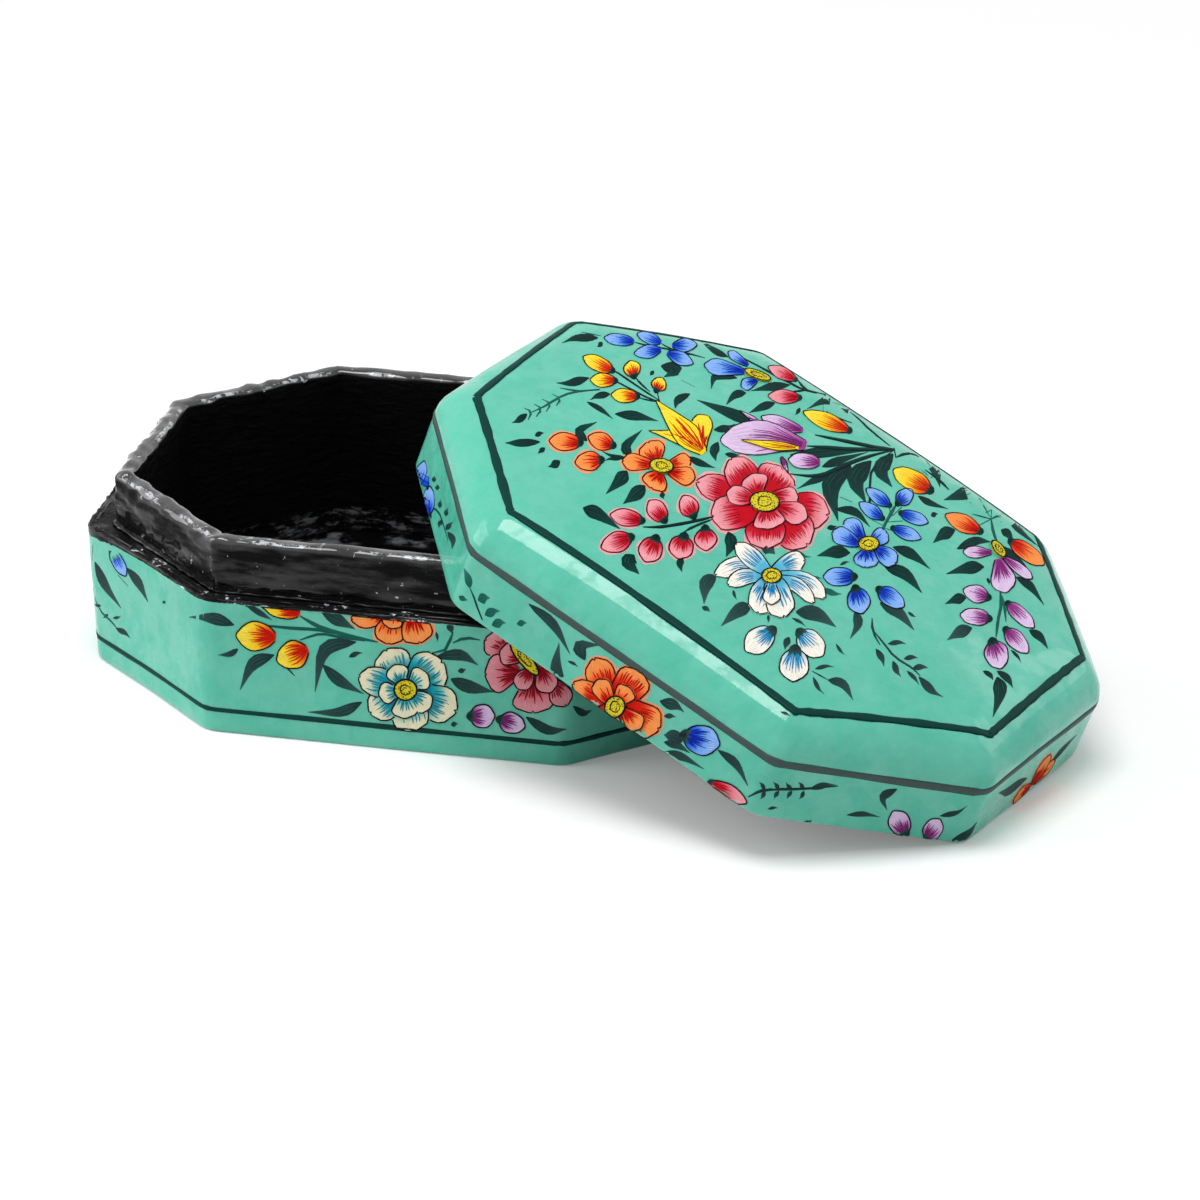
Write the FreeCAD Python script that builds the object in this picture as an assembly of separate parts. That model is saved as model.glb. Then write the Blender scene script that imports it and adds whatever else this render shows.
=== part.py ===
"""Octagonal papier mache box: a moulded tray, the collar glued inside it, and its loose domed lid.

The tray stands on the floor, centred on the origin. The lid is off: the rim of its far end stands
on the floor beside the tray, and the lid leans over the collar. All sizes are in millimetres.
"""

import FreeCAD, Part
import math
import os

# The elongated octagon that all pieces share
overall_length = 150.0
overall_width = 112.0
chamfer_along_length = 34.3
chamfer_along_width = 32.0
corner_radius = 7.0

# Tray: from its flat underside up to the ledge that carries the closed lid
tray_height = 32.4
ledge_width = 4.1
floor_thickness = 4.5
foot_rounding = 1.0
ledge_rounding = 0.8

# Collar: lines the tray down to its floor and stands up above the ledge
collar_rise = 12.5
collar_thickness = 4.5
collar_corner_radius = 3.0
bore_corner_radius = 2.0
lip_rounding = 1.6

# Lid: a skirt, a rounded shoulder and a level deck, hollow below. A low dome covers a share of the
# deck's length and width.
lid_overhang = 0.7
lid_clearance = 0.5
lid_height = 28.2
lid_top_thickness = 4.6
dome_rise = 2.5
dome_share = 0.8
shoulder_radius = 7.5
inner_shoulder_radius = 2.5
rim_rounding = 1.0

# How the lid leans, in degrees: turned about the upright, rolled to one side, then let down from
# the steepest tilt until only the resting gap parts it from the tray or collar. The middle of its
# rim lies at these shares of the box's length and width.
lean_turn = -20.6
lean_roll = 1.95
steepest_tilt = 40.0
lean_place_shares = (0.494, -0.234)
resting_gap = 0.3
resting_tolerance = 0.02

# How far a cutting solid runs past the faces that it cuts
overrun = 5.0

UP = FreeCAD.Vector(0, 0, 1)
ALONG = FreeCAD.Vector(1, 0, 0)
ACROSS = FreeCAD.Vector(0, 1, 0)

half_length = overall_length / 2
half_width = overall_width / 2
collar_top = tray_height + collar_rise


def outline(inset, radius):
    """The octagon drawn in by inset, with corners of a radius, as a face on the floor plane."""
    end = half_width - chamfer_along_width
    side = half_length - chamfer_along_length
    quarter = [(half_length, end), (side, half_width)]
    left = [(-x, y) for x, y in reversed(quarter)]
    back = quarter + left
    front = [(-x, -y) for x, y in back]
    corners = [FreeCAD.Vector(x, y, 0) for x, y in back + front]
    sharp = Part.Face(Part.makePolygon(corners + corners[:1]))
    core = sharp.makeOffset2D(-inset - radius, join=2)
    return core.makeOffset2D(radius, join=0)


def prism(inset, radius, bottom, top):
    """An upright block on such an outline, from the height bottom to top."""
    face = outline(inset, radius)
    face.translate(UP * bottom)
    return face.extrude(UP * (top - bottom))


def level_edges(solid, low, high):
    """The edges of a solid that lie wholly between two heights."""
    return [e for e in solid.Edges if e.BoundBox.ZMin > low and e.BoundBox.ZMax < high]


def tray():
    """The outer moulding, with its pocket for the collar."""
    block = prism(0, corner_radius, 0, tray_height)
    block = block.makeFillet(foot_rounding, level_edges(block, -overrun, tray_height / 2))
    pocket_top = tray_height + overrun
    pocket = prism(ledge_width, collar_corner_radius, floor_thickness, pocket_top)
    mouth = level_edges(block, tray_height / 2, pocket_top)
    return block.makeFillet(ledge_rounding, mouth).cut(pocket)


def collar():
    """The ring that lines the tray, with a rounded lip."""
    ring = prism(ledge_width, collar_corner_radius, floor_thickness, collar_top)
    bore_inset = ledge_width + collar_thickness
    bore_bottom = floor_thickness - overrun
    ring = ring.cut(prism(bore_inset, bore_corner_radius, bore_bottom, collar_top + overrun))
    return ring.makeFillet(lip_rounding, level_edges(ring, tray_height, collar_top + overrun))


def dome(deck):
    """A low dome on a level deck, which falls with the square of the way from its middle."""
    along = ALONG * (half_length * dome_share)
    across = ACROSS * (half_width * dome_share)
    crown = UP * (deck + dome_rise)
    roof = Part.BezierSurface()
    roof.increase(2, 2)
    for row, x_side in enumerate((-1, 0, 1), 1):
        for column, y_side in enumerate((-1, 0, 1), 1):
            fall = dome_rise * (2 * abs(x_side) + 2 * abs(y_side) - 2)
            roof.setPole(row, column, crown + along * x_side + across * y_side - UP * fall)
    below = roof.toShape().extrude(UP * -(deck + dome_rise))
    corner = FreeCAD.Vector(-half_length, -half_width, deck)
    above = Part.makeBox(overall_length, overall_width, overrun, corner)
    return below.common(above)


def domed_block(inset, radius, bottom, crown, shoulder):
    """An octagonal block with a rounded shoulder and a low dome on its deck."""
    deck = crown - dome_rise
    block = prism(inset, radius, bottom, deck)
    block = block.makeFillet(shoulder, level_edges(block, crown / 2, crown))
    return block.fuse(dome(deck))


def lid():
    """The lid as it lies closed, with the middle of its rim at the origin."""
    outer_radius = corner_radius + lid_overhang
    outside = domed_block(-lid_overhang, outer_radius, 0, lid_height, shoulder_radius)
    hollow_inset = ledge_width - lid_clearance
    hollow_radius = collar_corner_radius + lid_clearance
    hollow_crown = lid_height - lid_top_thickness
    hollow = domed_block(
        hollow_inset, hollow_radius, -overrun, hollow_crown, inner_shoulder_radius
    )
    shell = outside.cut(hollow)
    return shell.makeFillet(rim_rounding, level_edges(shell, -overrun, rim_rounding))


def leaning(piece, tilt):
    """A copy of the lid, turned, rolled and tilted, with its lowest point on the floor."""
    turn = FreeCAD.Rotation(UP, lean_turn)
    roll = FreeCAD.Rotation(ALONG, lean_roll)
    tip = FreeCAD.Rotation(ACROSS, tilt)
    along_share, across_share = lean_place_shares
    place = ALONG * (overall_length * along_share) + ACROSS * (overall_width * across_share)
    moved = piece.copy()
    moved.Placement = FreeCAD.Placement(place, turn * roll * tip)
    moved.translate(UP * -moved.optimalBoundingBox().ZMin)
    return moved


def settle(piece, carriers):
    """Let the lid down until it clears what it leans on by the resting gap.

    No point of the lid is much further from its end on the floor than the box is long, so a turn
    of the gap over that length never carries it past its rest.
    """
    tilt = steepest_tilt
    gap = leaning(piece, tilt).distToShape(carriers)[0]
    while gap > resting_gap + resting_tolerance:
        tilt -= math.degrees((gap - resting_gap) / overall_length)
        gap = leaning(piece, tilt).distToShape(carriers)[0]
    return leaning(piece, tilt)


def main():
    """Write one file for each piece."""
    tray_shell = tray()
    collar_ring = collar()
    leaning_lid = settle(lid(), Part.Compound([tray_shell, collar_ring]))
    pieces = {
        "tray_shell": tray_shell,
        "collar_ring": collar_ring,
        "lid_shell": leaning_lid,
    }
    os.makedirs("parts", exist_ok=True)
    for name, solid in pieces.items():
        solid.exportStep(os.path.join("parts", name + ".step"))


main()
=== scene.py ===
"""Octagonal papier mache box with painted flowers, its lid off and leaning on the tray.

The tray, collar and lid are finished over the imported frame. Leaves, petals, stems and lines are
then laid on them as thin coats of paint. Lengths below are in millimetres unless they say pixels,
and a pixel belongs to the square reference view that the camera takes.
"""

import math
import random
from types import SimpleNamespace

import bpy
import numpy as np
from mathutils import Matrix, Vector, noise
from mathutils.bvhtree import BVHTree


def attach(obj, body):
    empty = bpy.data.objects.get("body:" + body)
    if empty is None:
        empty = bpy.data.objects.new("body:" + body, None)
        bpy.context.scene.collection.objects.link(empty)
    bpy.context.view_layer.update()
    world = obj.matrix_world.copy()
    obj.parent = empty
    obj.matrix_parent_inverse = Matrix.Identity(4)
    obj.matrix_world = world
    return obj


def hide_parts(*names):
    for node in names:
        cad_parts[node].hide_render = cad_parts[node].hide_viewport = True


bl_info = {
    "name": "Painted Papier Mache Box",
    "version": (1, 0, 0),
    "blender": (4, 5, 0),
    "location": "View3D > Sidebar > Painted Box",
    "description": "Builds an octagonal papier mache box with painted flowers",
    "category": "Object",
}

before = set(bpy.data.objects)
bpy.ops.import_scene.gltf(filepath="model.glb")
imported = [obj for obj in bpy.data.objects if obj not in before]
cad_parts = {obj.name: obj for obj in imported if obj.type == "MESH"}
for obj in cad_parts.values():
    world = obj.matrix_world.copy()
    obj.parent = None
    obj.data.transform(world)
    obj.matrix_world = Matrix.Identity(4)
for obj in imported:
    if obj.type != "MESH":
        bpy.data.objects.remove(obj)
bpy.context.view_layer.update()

MM = 0.001

# The lid's rounded shoulder, down and across, and its wall
LID_SHOULDER, LID_REACH, LID_THICKNESS = 8.0, 10.6, 4.6

# The lid's place: turn about the upright, roll, tilt, and the middle of its rim
LID_TURN, LID_ROLL, LID_TILT = -20.6, 1.95, 21.5224
LID_PLACE = (74.1, -26.208, 28.1829)
LID_MATRIX = (
    Matrix.Translation(LID_PLACE)
    @ Matrix.Rotation(math.radians(LID_TURN), 4, "Z")
    @ Matrix.Rotation(math.radians(LID_ROLL), 4, "X")
    @ Matrix.Rotation(math.radians(LID_TILT), 4, "Y")
)

# The reference view: a long lens, its direction and target, and its picture in pixels
VIEW_AZIMUTH, VIEW_ELEVATION, VIEW_ROLL = 13.1113, 24.5701, -0.0999
VIEW_DISTANCE = 1340.832
VIEW_TARGET = Vector((38.3142, -11.2407, 20.0))
LENS, SENSOR = 180.0, 36.0
PICTURE = 1200.0
FOCAL = PICTURE * LENS / SENSOR
PIXELS_PER_MM = FOCAL / VIEW_DISTANCE


def view_axes():
    """The camera's right, up and backward directions."""
    a, e = math.radians(VIEW_AZIMUTH), math.radians(VIEW_ELEVATION)
    r = math.radians(VIEW_ROLL)
    back = Vector((math.sin(a) * math.cos(e), -math.cos(a) * math.cos(e), math.sin(e)))
    level = (-back).cross(Vector((0, 0, 1))).normalized()
    rise = level.cross(-back)
    right = level * math.cos(r) + rise * math.sin(r)
    up = rise * math.cos(r) - level * math.sin(r)
    return right, up, back


RIGHT, UP, BACK = view_axes()
EYE = VIEW_TARGET + BACK * VIEW_DISTANCE


# Shader and node helpers

class Value:
    """A node socket that can be used in arithmetic."""

    def __init__(self, tree, socket):
        self.tree, self.socket = tree, socket

    def maths(self, operation, *others):
        return self.tree.add("ShaderNodeMath", {"operation": operation}, self, *others)

    def __add__(self, other):
        return self.maths("ADD", other)

    __radd__ = __add__

    def __mul__(self, other):
        return self.maths("MULTIPLY", other)

    __rmul__ = __mul__

    def __sub__(self, other):
        return self.maths("SUBTRACT", other)

    def __rsub__(self, other):
        return self.tree.add("ShaderNodeMath", {"operation": "SUBTRACT"}, other, self)

    def clamp(self, low, high):
        """Nought at low and one at high, with a soft turn at both."""
        return self.tree.add(
            "ShaderNodeMapRange", {"interpolation_type": "SMOOTHSTEP"}, self, low, high, 0.0, 1.0
        )


class Tree:
    """A node tree of a material, the world or a modifier."""

    def __init__(self, nodes, links):
        self.nodes, self.links = nodes, links

    def feed(self, socket, value):
        if isinstance(value, Value):
            self.links.new(value.socket, socket)
        elif value is not None:
            socket.default_value = value

    def add(self, kind, settings=None, *values, out=0, **named):
        """A node of a kind: its settings first, then its sockets in order or by name."""
        node = self.nodes.new(kind)
        for name, value in (settings or {}).items():
            setattr(node, name, value)
        for socket, value in zip(node.inputs, values):
            self.feed(socket, value)
        for name, value in named.items():
            self.feed(node.inputs[name.replace("_", " ")], value)
        if out is None:
            return node
        return Value(self, node.outputs[out])

    def mix(self, share, first, second):
        """Two colours mixed by a share."""
        node = self.add("ShaderNodeMix", {"data_type": "RGBA"}, out=None)
        for index, value in ((0, share), (6, first), (7, second)):
            self.feed(node.inputs[index], value)
        return Value(self, node.outputs[2])

    def noise(self, place, scale, detail=2.0, roughness=0.5):
        """Cloudy noise from nought to one."""
        return self.add("ShaderNodeTexNoise", None, place, None, scale, detail, roughness)

    def stretched(self, place, upright):
        """A place with its heights drawn out, so that a pattern on it lies in level streaks."""
        way = (1.0, 1.0, upright)
        return self.add("ShaderNodeVectorMath", {"operation": "MULTIPLY"}, place, way)

    def mark(self, name, out):
        """An attribute that the mesh carries."""
        return self.add("ShaderNodeAttribute", {"attribute_name": name}, out=out)


def linear(colour):
    """Scene-linear red, green, blue and a full alpha from screen values up to 255."""
    shares = [c / 255 for c in colour]
    return [s / 12.92 if s <= 0.04045 else ((s + 0.055) / 1.055) ** 2.4 for s in shares] + [1.0]


def opaque(colour):
    """A scene-linear colour with a full alpha."""
    return (*colour, 1.0)


def material(name):
    """A new material, its tree and its shader node."""
    made = bpy.data.materials.new(name)
    made.use_nodes = True
    tree = Tree(made.node_tree.nodes, made.node_tree.links)
    return made, tree, made.node_tree.nodes["Principled BSDF"]


def varnish(shader, gloss, strength, roughness):
    """The paint's own gloss and the clear varnish over it."""
    shader.inputs["Specular IOR Level"].default_value = gloss
    shader.inputs["Coat Weight"].default_value = strength
    shader.inputs["Coat Roughness"].default_value = roughness
    shader.inputs["Coat IOR"].default_value = 1.5


def lacquer(colours):
    """Mint paint outside, black inside, with a ragged brushed edge between the two, painted glints on
    the ledge and painted reflections with scuffs round the floor.
    """
    made, tree, shader = material("mint_and_black_lacquer")
    place = tree.add("ShaderNodeTexCoord", out=3)
    edge = tree.mark("edge", 2)
    ragged = tree.noise(place, 420.0, 4.0, 0.7) - 0.5
    green = (edge + ragged * 1.6).clamp(-0.08, 0.08)
    cloud = tree.noise(place, 24.0, 3.0, 0.55).clamp(0.3, 0.7)
    speck = tree.noise(place, 210.0, 3.0, 0.6).clamp(0.35, 0.8)
    mint = tree.mix(cloud * 0.75, opaque(colours.mint), opaque(colours.mint_shade))
    mint = tree.mix(speck * 0.22, mint, opaque(colours.mint_light))
    streak = tree.noise(tree.stretched(place, 5.0), 95.0, 4.0, 0.6)
    ledge = edge.clamp(-3.2, -2.7)
    scuff_and_sheen = (-4.0 - edge).clamp(0.1, 0.4)
    rubbed = streak.clamp(0.45, 0.8) * 0.4 * ledge
    black = tree.mix(rubbed, opaque(colours.black), opaque(colours.black_worn))
    # Pale painted glints on the ledge, and pale streaks round the floor's border that are painted
    # reflection as well as scuffs
    painted_highlight = tree.noise(place, 520.0, 3.0, 0.6).clamp(0.54, 0.6) * streak.clamp(0.56, 0.62) * ledge
    painted_highlight = painted_highlight + streak.clamp(0.52, 0.64) * scuff_and_sheen * 0.2
    black = tree.mix(painted_highlight, black, opaque(colours.painted_highlight))
    tree.feed(shader.inputs["Base Color"], tree.mix(green, black, mint))
    tree.feed(shader.inputs["Roughness"], 0.34 - 0.08 * green + 0.12 * speck)
    swell = tree.noise(place, 75.0, 3.0, 0.55) * 2.4 + tree.noise(place, 260.0) * 0.35
    swell = swell + tree.noise(place, 700.0) * 0.06
    rough = tree.noise(place, 330.0, 5.0, 0.65) * 1.5
    height = swell * green + rough * (1.0 - green)
    bump = tree.add("ShaderNodeBump", None, 0.55, 0.0009, Height=height)
    tree.feed(shader.inputs["Normal"], bump)
    varnish(shader, 0.05, 0.5, 0.06)
    wet = streak.clamp(0.4, 0.62)
    patchy = 0.45 + 0.55 * tree.noise(place, 120.0, 4.0, 0.62).clamp(0.42, 0.54)
    mint_coat = 0.85 * green * patchy
    dark_coat = (1.0 - green) * (0.02 + wet * (0.7 * ledge + scuff_and_sheen))
    tree.feed(shader.inputs["Coat Weight"], mint_coat + dark_coat)
    return made


def rough_black(colours):
    """Black lacquer brushed over coarse paper pulp, worn grey where it stands proud, with painted
    glints on its ridges, painted highlight lines along the lip and over the ledge, and painted
    reflections as well as scuffs near the floor.
    """
    made, tree, shader = material("rough_black_lacquer")
    place = tree.add("ShaderNodeTexCoord", out=3)
    ridge = tree.noise(tree.stretched(place, 3.2), 190.0, 6.0, 0.68)
    grain = tree.noise(place, 900.0, 3.0, 0.6)
    worn = ridge.clamp(0.56, 0.74) * grain.clamp(0.4, 0.7)
    rim = tree.mark("edge", 2)
    inside, scuffed_and_sheen = (0.0 - rim).clamp(0.2, 0.9), (0.0 - rim).clamp(1.2, 1.9)
    rubbed = worn * 0.7 * (1.0 - inside)
    base = tree.mix(rubbed, opaque(colours.black), opaque(colours.black_worn))
    streak = tree.noise(tree.stretched(place, 4.5), 85.0, 3.0, 0.55)
    # Broken pale lines along the lip and the crease over the ledge: painted highlights
    painted_rim_lines = tree.noise(place, 95.0, 4.0, 0.7).clamp(0.475, 0.57) * grain.clamp(0.4, 0.52)
    painted_rim_lines = painted_rim_lines * rim.clamp(0.68, 0.98)
    # Pale specks on the ridges are painted glints; pale streaks near the floor are painted reflection
    # as well as scuffs
    speck = tree.noise(place, 640.0).clamp(0.66, 0.7) * ridge.clamp(0.52, 0.6) * (1.0 - inside)
    painted_highlight = painted_rim_lines * 0.85 + speck * 0.8 + ridge.clamp(0.5, 0.62) * scuffed_and_sheen * 0.26
    base = tree.mix(painted_highlight, base, opaque(colours.painted_highlight))
    tree.feed(shader.inputs["Base Color"], base)
    tree.feed(shader.inputs["Roughness"], 0.3 + 0.25 * grain)
    bump = tree.add("ShaderNodeBump", None, 0.75, 0.0022, Height=ridge + grain * 0.12)
    tree.feed(shader.inputs["Normal"], bump)
    varnish(shader, 0.03, 0.4, 0.05)
    wet = streak.clamp(0.38, 0.68) * 0.75 + rim.clamp(0.1, 0.6) * 1.1
    tree.feed(shader.inputs["Coat Weight"], 0.02 + (0.06 + wet) * (1.0 - inside) + scuffed_and_sheen * 0.5)
    return made


def brush_paint():
    """Paint whose colour each stroke carries, a little uneven as a brush leaves it."""
    made, tree, shader = material("brush_paint")
    place = tree.add("ShaderNodeTexCoord", out=3)
    colour = tree.mark("paint", 0)
    uneven = tree.noise(place, 520.0, 3.0, 0.6).clamp(0.35, 0.75)
    darker = tree.add("ShaderNodeVectorMath", {"operation": "SCALE"}, colour, Scale=0.82)
    tree.feed(shader.inputs["Base Color"], tree.mix(uneven * 0.55, colour, darker))
    tree.feed(shader.inputs["Roughness"], 0.36 + 0.1 * uneven)
    bump = tree.add("ShaderNodeBump", None, 0.25, 0.0003, Height=tree.noise(place, 800.0))
    tree.feed(shader.inputs["Normal"], bump)
    varnish(shader, 0.02, 0.05, 0.09)
    return made


# The three bodies

def octagon(sizes, inset):
    """The sharp octagon drawn in by inset, anticlockwise, with the outward way of each side."""
    half_l, half_w = sizes.length / 2, sizes.width / 2
    end, side = half_w - sizes.chamfer_width, half_l - sizes.chamfer_length
    corners = np.array([
        (-half_l, -end), (-side, -half_w), (side, -half_w), (half_l, -end),
        (half_l, end), (side, half_w), (-side, half_w), (-half_l, end),
    ])
    ways = np.roll(corners, -1, 0) - corners
    ways /= np.linalg.norm(ways, axis=1)[:, None]
    outward = np.stack([ways[:, 1], -ways[:, 0]], 1)
    reach = (outward * corners).sum(1) - inset
    inner = [
        np.linalg.solve(outward[[i - 1, i]], reach[[i - 1, i]]) for i in range(len(corners))
    ]
    return np.array(inner), outward


def ring(sizes, inset, radius, arc, side):
    """The octagon drawn in by inset with rounded corners, as a closed row of points."""
    cores, outward = octagon(sizes, inset + radius)
    points = []
    for i, core in enumerate(cores):
        start = math.atan2(outward[i - 1][1], outward[i - 1][0])
        turn = (math.atan2(outward[i][1], outward[i][0]) - start) % (2 * math.pi)
        for k in range(arc + 1):
            angle = start + turn * k / arc
            points.append(core + radius * np.array([math.cos(angle), math.sin(angle)]))
        last = points[-1]
        following = cores[(i + 1) % len(cores)] + radius * outward[i]
        points += [last + (following - last) * k / side for k in range(1, side)]
    return np.array(points)


def smooth(low, high, value):
    share = np.clip((value - low) / (high - low), 0, 1)
    return share * share * (3 - 2 * share)


def ripple(points, seed, scale, height):
    """Slow hand-made unevenness at each point."""
    shift = Vector((seed * 7.3, seed * 3.1, seed * 5.7))
    return np.array([noise.noise(Vector(p) * scale + shift) * height for p in points])


def pushed(row, push):
    """Moves the points of a ring outwards, each by its own push."""
    row[:, :2] *= 1 + (push / np.linalg.norm(row[:, :2], axis=1))[:, None]


def level_row(flat, height):
    """A flat ring of points at one height."""
    return np.column_stack([flat, np.full(len(flat), float(height))])


def lofted(name, rows, edges, closed, finish, place=None):
    """A skin through rows of rings; the ends are closed at their middles, or into a tube."""
    count = len(rows[0])
    points = [p for row in rows for p in row]
    marks = [edge for row_edges in edges for edge in row_edges]
    faces = []
    steps = len(rows) if closed else len(rows) - 1
    for j in range(steps):
        low, high = j * count, ((j + 1) % len(rows)) * count
        for i in range(count):
            k = (i + 1) % count
            faces.append((low + i, low + k, high + k, high + i))
    if not closed:
        for row, start, flip in ((rows[0], 0, True), (rows[-1], (len(rows) - 1) * count, False)):
            middle = len(points)
            points.append(np.mean(row, 0))
            marks.append(marks[start])
            for i in range(count):
                pair = (start + i, start + (i + 1) % count)
                faces.append((middle, *(reversed(pair) if flip else pair)))
    return mesh_piece(name, points, faces, finish, {"edge": marks}, place)


def mesh_piece(name, points, faces, finish, marks=None, place=None):
    """A mesh object in metres from points in millimetres, with its attributes and finish."""
    mesh = bpy.data.meshes.new(name)
    placed = [(place @ Vector(p)) if place else Vector(p) for p in points]
    mesh.from_pydata([p * MM for p in placed], [], [tuple(f) for f in faces])
    for attribute, values in (marks or {}).items():
        wide = np.ndim(values[0]) > 0
        layer = mesh.attributes.new(attribute, "FLOAT_COLOR" if wide else "FLOAT", "POINT")
        flat = np.array(values, np.float32).ravel()
        layer.data.foreach_set("color" if wide else "value", flat)
    mesh.materials.append(finish)
    mesh.shade_smooth()
    mesh.update()
    made = bpy.data.objects.new(name, mesh)
    bpy.context.scene.collection.objects.link(made)
    return made


def flared(row, sizes):
    """The tray's left end stands out a little, more at its ledge than at its foot."""
    out = row.copy()
    share = smooth(sizes.length * 0.36, sizes.length / 2, -out[:, 0])
    out[:, 0] -= share * (1.2 + 1.3 * out[:, 2] / sizes.tray_height)
    return out


def tray_rows(sizes):
    """Rings from the middle of the underside, up the wall, over the ledge and to the floor."""
    top, ledge, radius = sizes.tray_height, sizes.ledge, sizes.corner_radius
    rows, edges = [], []

    def put(inset, corner, height, edge, shrink=1.0, uneven=0.0, flare=False):
        flat = ring(sizes, inset, corner, 6, 12) * shrink
        row = level_row(flat, height)
        if uneven:
            pushed(row, ripple(row, 1, 0.035, uneven) + ripple(row, 2, 0.12, uneven * 0.35))
        rows.append(flared(row, sizes) if flare else row)
        edges.append(np.full(len(row), float(edge)))

    for shrink in (0.05, 0.3, 0.6, 0.85, 0.96):
        put(1.0, radius - 1.0, 0, -4, shrink)
    for inset, height, edge in ((1.0, 0.0, -0.6), (0.5, 0.13, 0.4), (0.13, 0.5, 2), (0, 1, 3)):
        put(inset, radius - inset, height, edge, 1, 0.25, True)
    for k in range(1, 19):
        height = 1 + (top - 1.8) * k / 18
        put(0, radius, height, 0, 1, 0.25, True)
        far_left = smooth(sizes.length * 0.44, sizes.length * 0.5, -rows[-1][:, 0])
        edges[-1] = top - 0.6 - 1.2 * far_left - height
    brink = ((0.1, 0.4, -1.0), (0.35, 0.12, -1.4), (0.8, 0, -1.9), (1.6, -0.05, -2.6))
    for inset, fall, edge in brink:
        put(inset, radius - inset, top - fall, edge, 1, 0.25, True)
    put(ledge * 0.7, 4.0, top, -2.8)
    put(ledge, 3.0, top - 0.2, -4)
    for height in (top - 3, sizes.floor + 0.5, sizes.floor):
        put(ledge, 3.0, height, -4)
    # The floor's two outer rings are marked -4.5: there the lacquer lays pale painted reflections as
    # well as scuffs
    floor_rings = ((0.97, -4.5), (0.85, -4.5), (0.75, -4), (0.5, -4), (0.25, -4), (0.05, -4))
    for shrink, edge in floor_rings:
        put(ledge, 3.0, sizes.floor, edge, shrink)
    return rows, edges


def collar_rows(sizes):
    """Rings round the collar's cross-section, lumpy where the pulp shows."""
    top = sizes.tray_height + sizes.collar_rise
    outer, inner, lip = sizes.ledge + 0.03, sizes.ledge + sizes.collar_thickness, 1.6
    section = [(inner, 2.0, sizes.floor - 0.2), (outer, 3.0, sizes.floor - 0.2)]
    section += [(outer, 3.0, sizes.tray_height * s) for s in (0.3, 0.6, 0.9, 0.97)]
    rise, depth = sizes.collar_rise - lip, top - lip - sizes.floor
    section += [(outer, 3.0, sizes.tray_height + rise * s) for s in np.linspace(0, 1, 10)]
    for angle in (25, 50, 72, 90):
        a = math.radians(angle)
        section.append((outer + lip * (1 - math.cos(a)), 3.0, top - lip + lip * math.sin(a)))
    for angle in (90, 65, 40, 15):
        a = math.radians(angle)
        section.append((inner - lip * (1 - math.cos(a)), 2.0, top - lip + lip * math.sin(a)))
    section += [(inner, 2.0, top - lip - depth * s) for s in np.linspace(0.08, 0.97, 12)]
    rows, rims = [], []
    for inset, corner, height in section:
        flat = ring(sizes, inset, corner, 6, 30)
        row = level_row(flat, height)
        if height > sizes.tray_height:
            share = min(1.0, (height - sizes.tray_height) / 4)
            push = ripple(row, 5, 0.09, 0.5) + ripple(row, 6, 0.34, 0.55) + ripple(row, 9, 0.8, 0.28)
            left = 0.55 + 0.75 * smooth(10, 70, -row[:, 0])
            push *= share * left * (1.0 if inset < (outer + inner) / 2 else 0.6)
            pushed(row, push)
            row[:, 2] += ripple(row, 7, 0.25, 0.5) * share * left
        rows.append(row)
        # The edge mark: 1 on the lip's top and 0.9 at the crease over the ledge place painted highlight
        # lines and more coat; below nought is the inside, and -2 its foot, where painted reflections
        # and scuffs go
        if inset > inner - 0.1:
            mark = -2.0 if height < sizes.floor + 5 else -1.0
        elif height > top - lip:
            mark = 1.0 if top - 0.6 < height < top - 0.03 else 0.45
        else:
            mark = 0.9 if abs(height - sizes.tray_height) < 0.5 else 0.0
        rims.append(np.full(len(row), mark))
    return rows, rims


def lid_crown(sizes, x, y):
    """The height of the lid's domed top over its rim."""
    bow = (x / (sizes.length / 2)) ** 2 + (y / (sizes.width / 2)) ** 2
    return sizes.lid_height - sizes.dome * bow


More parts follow.
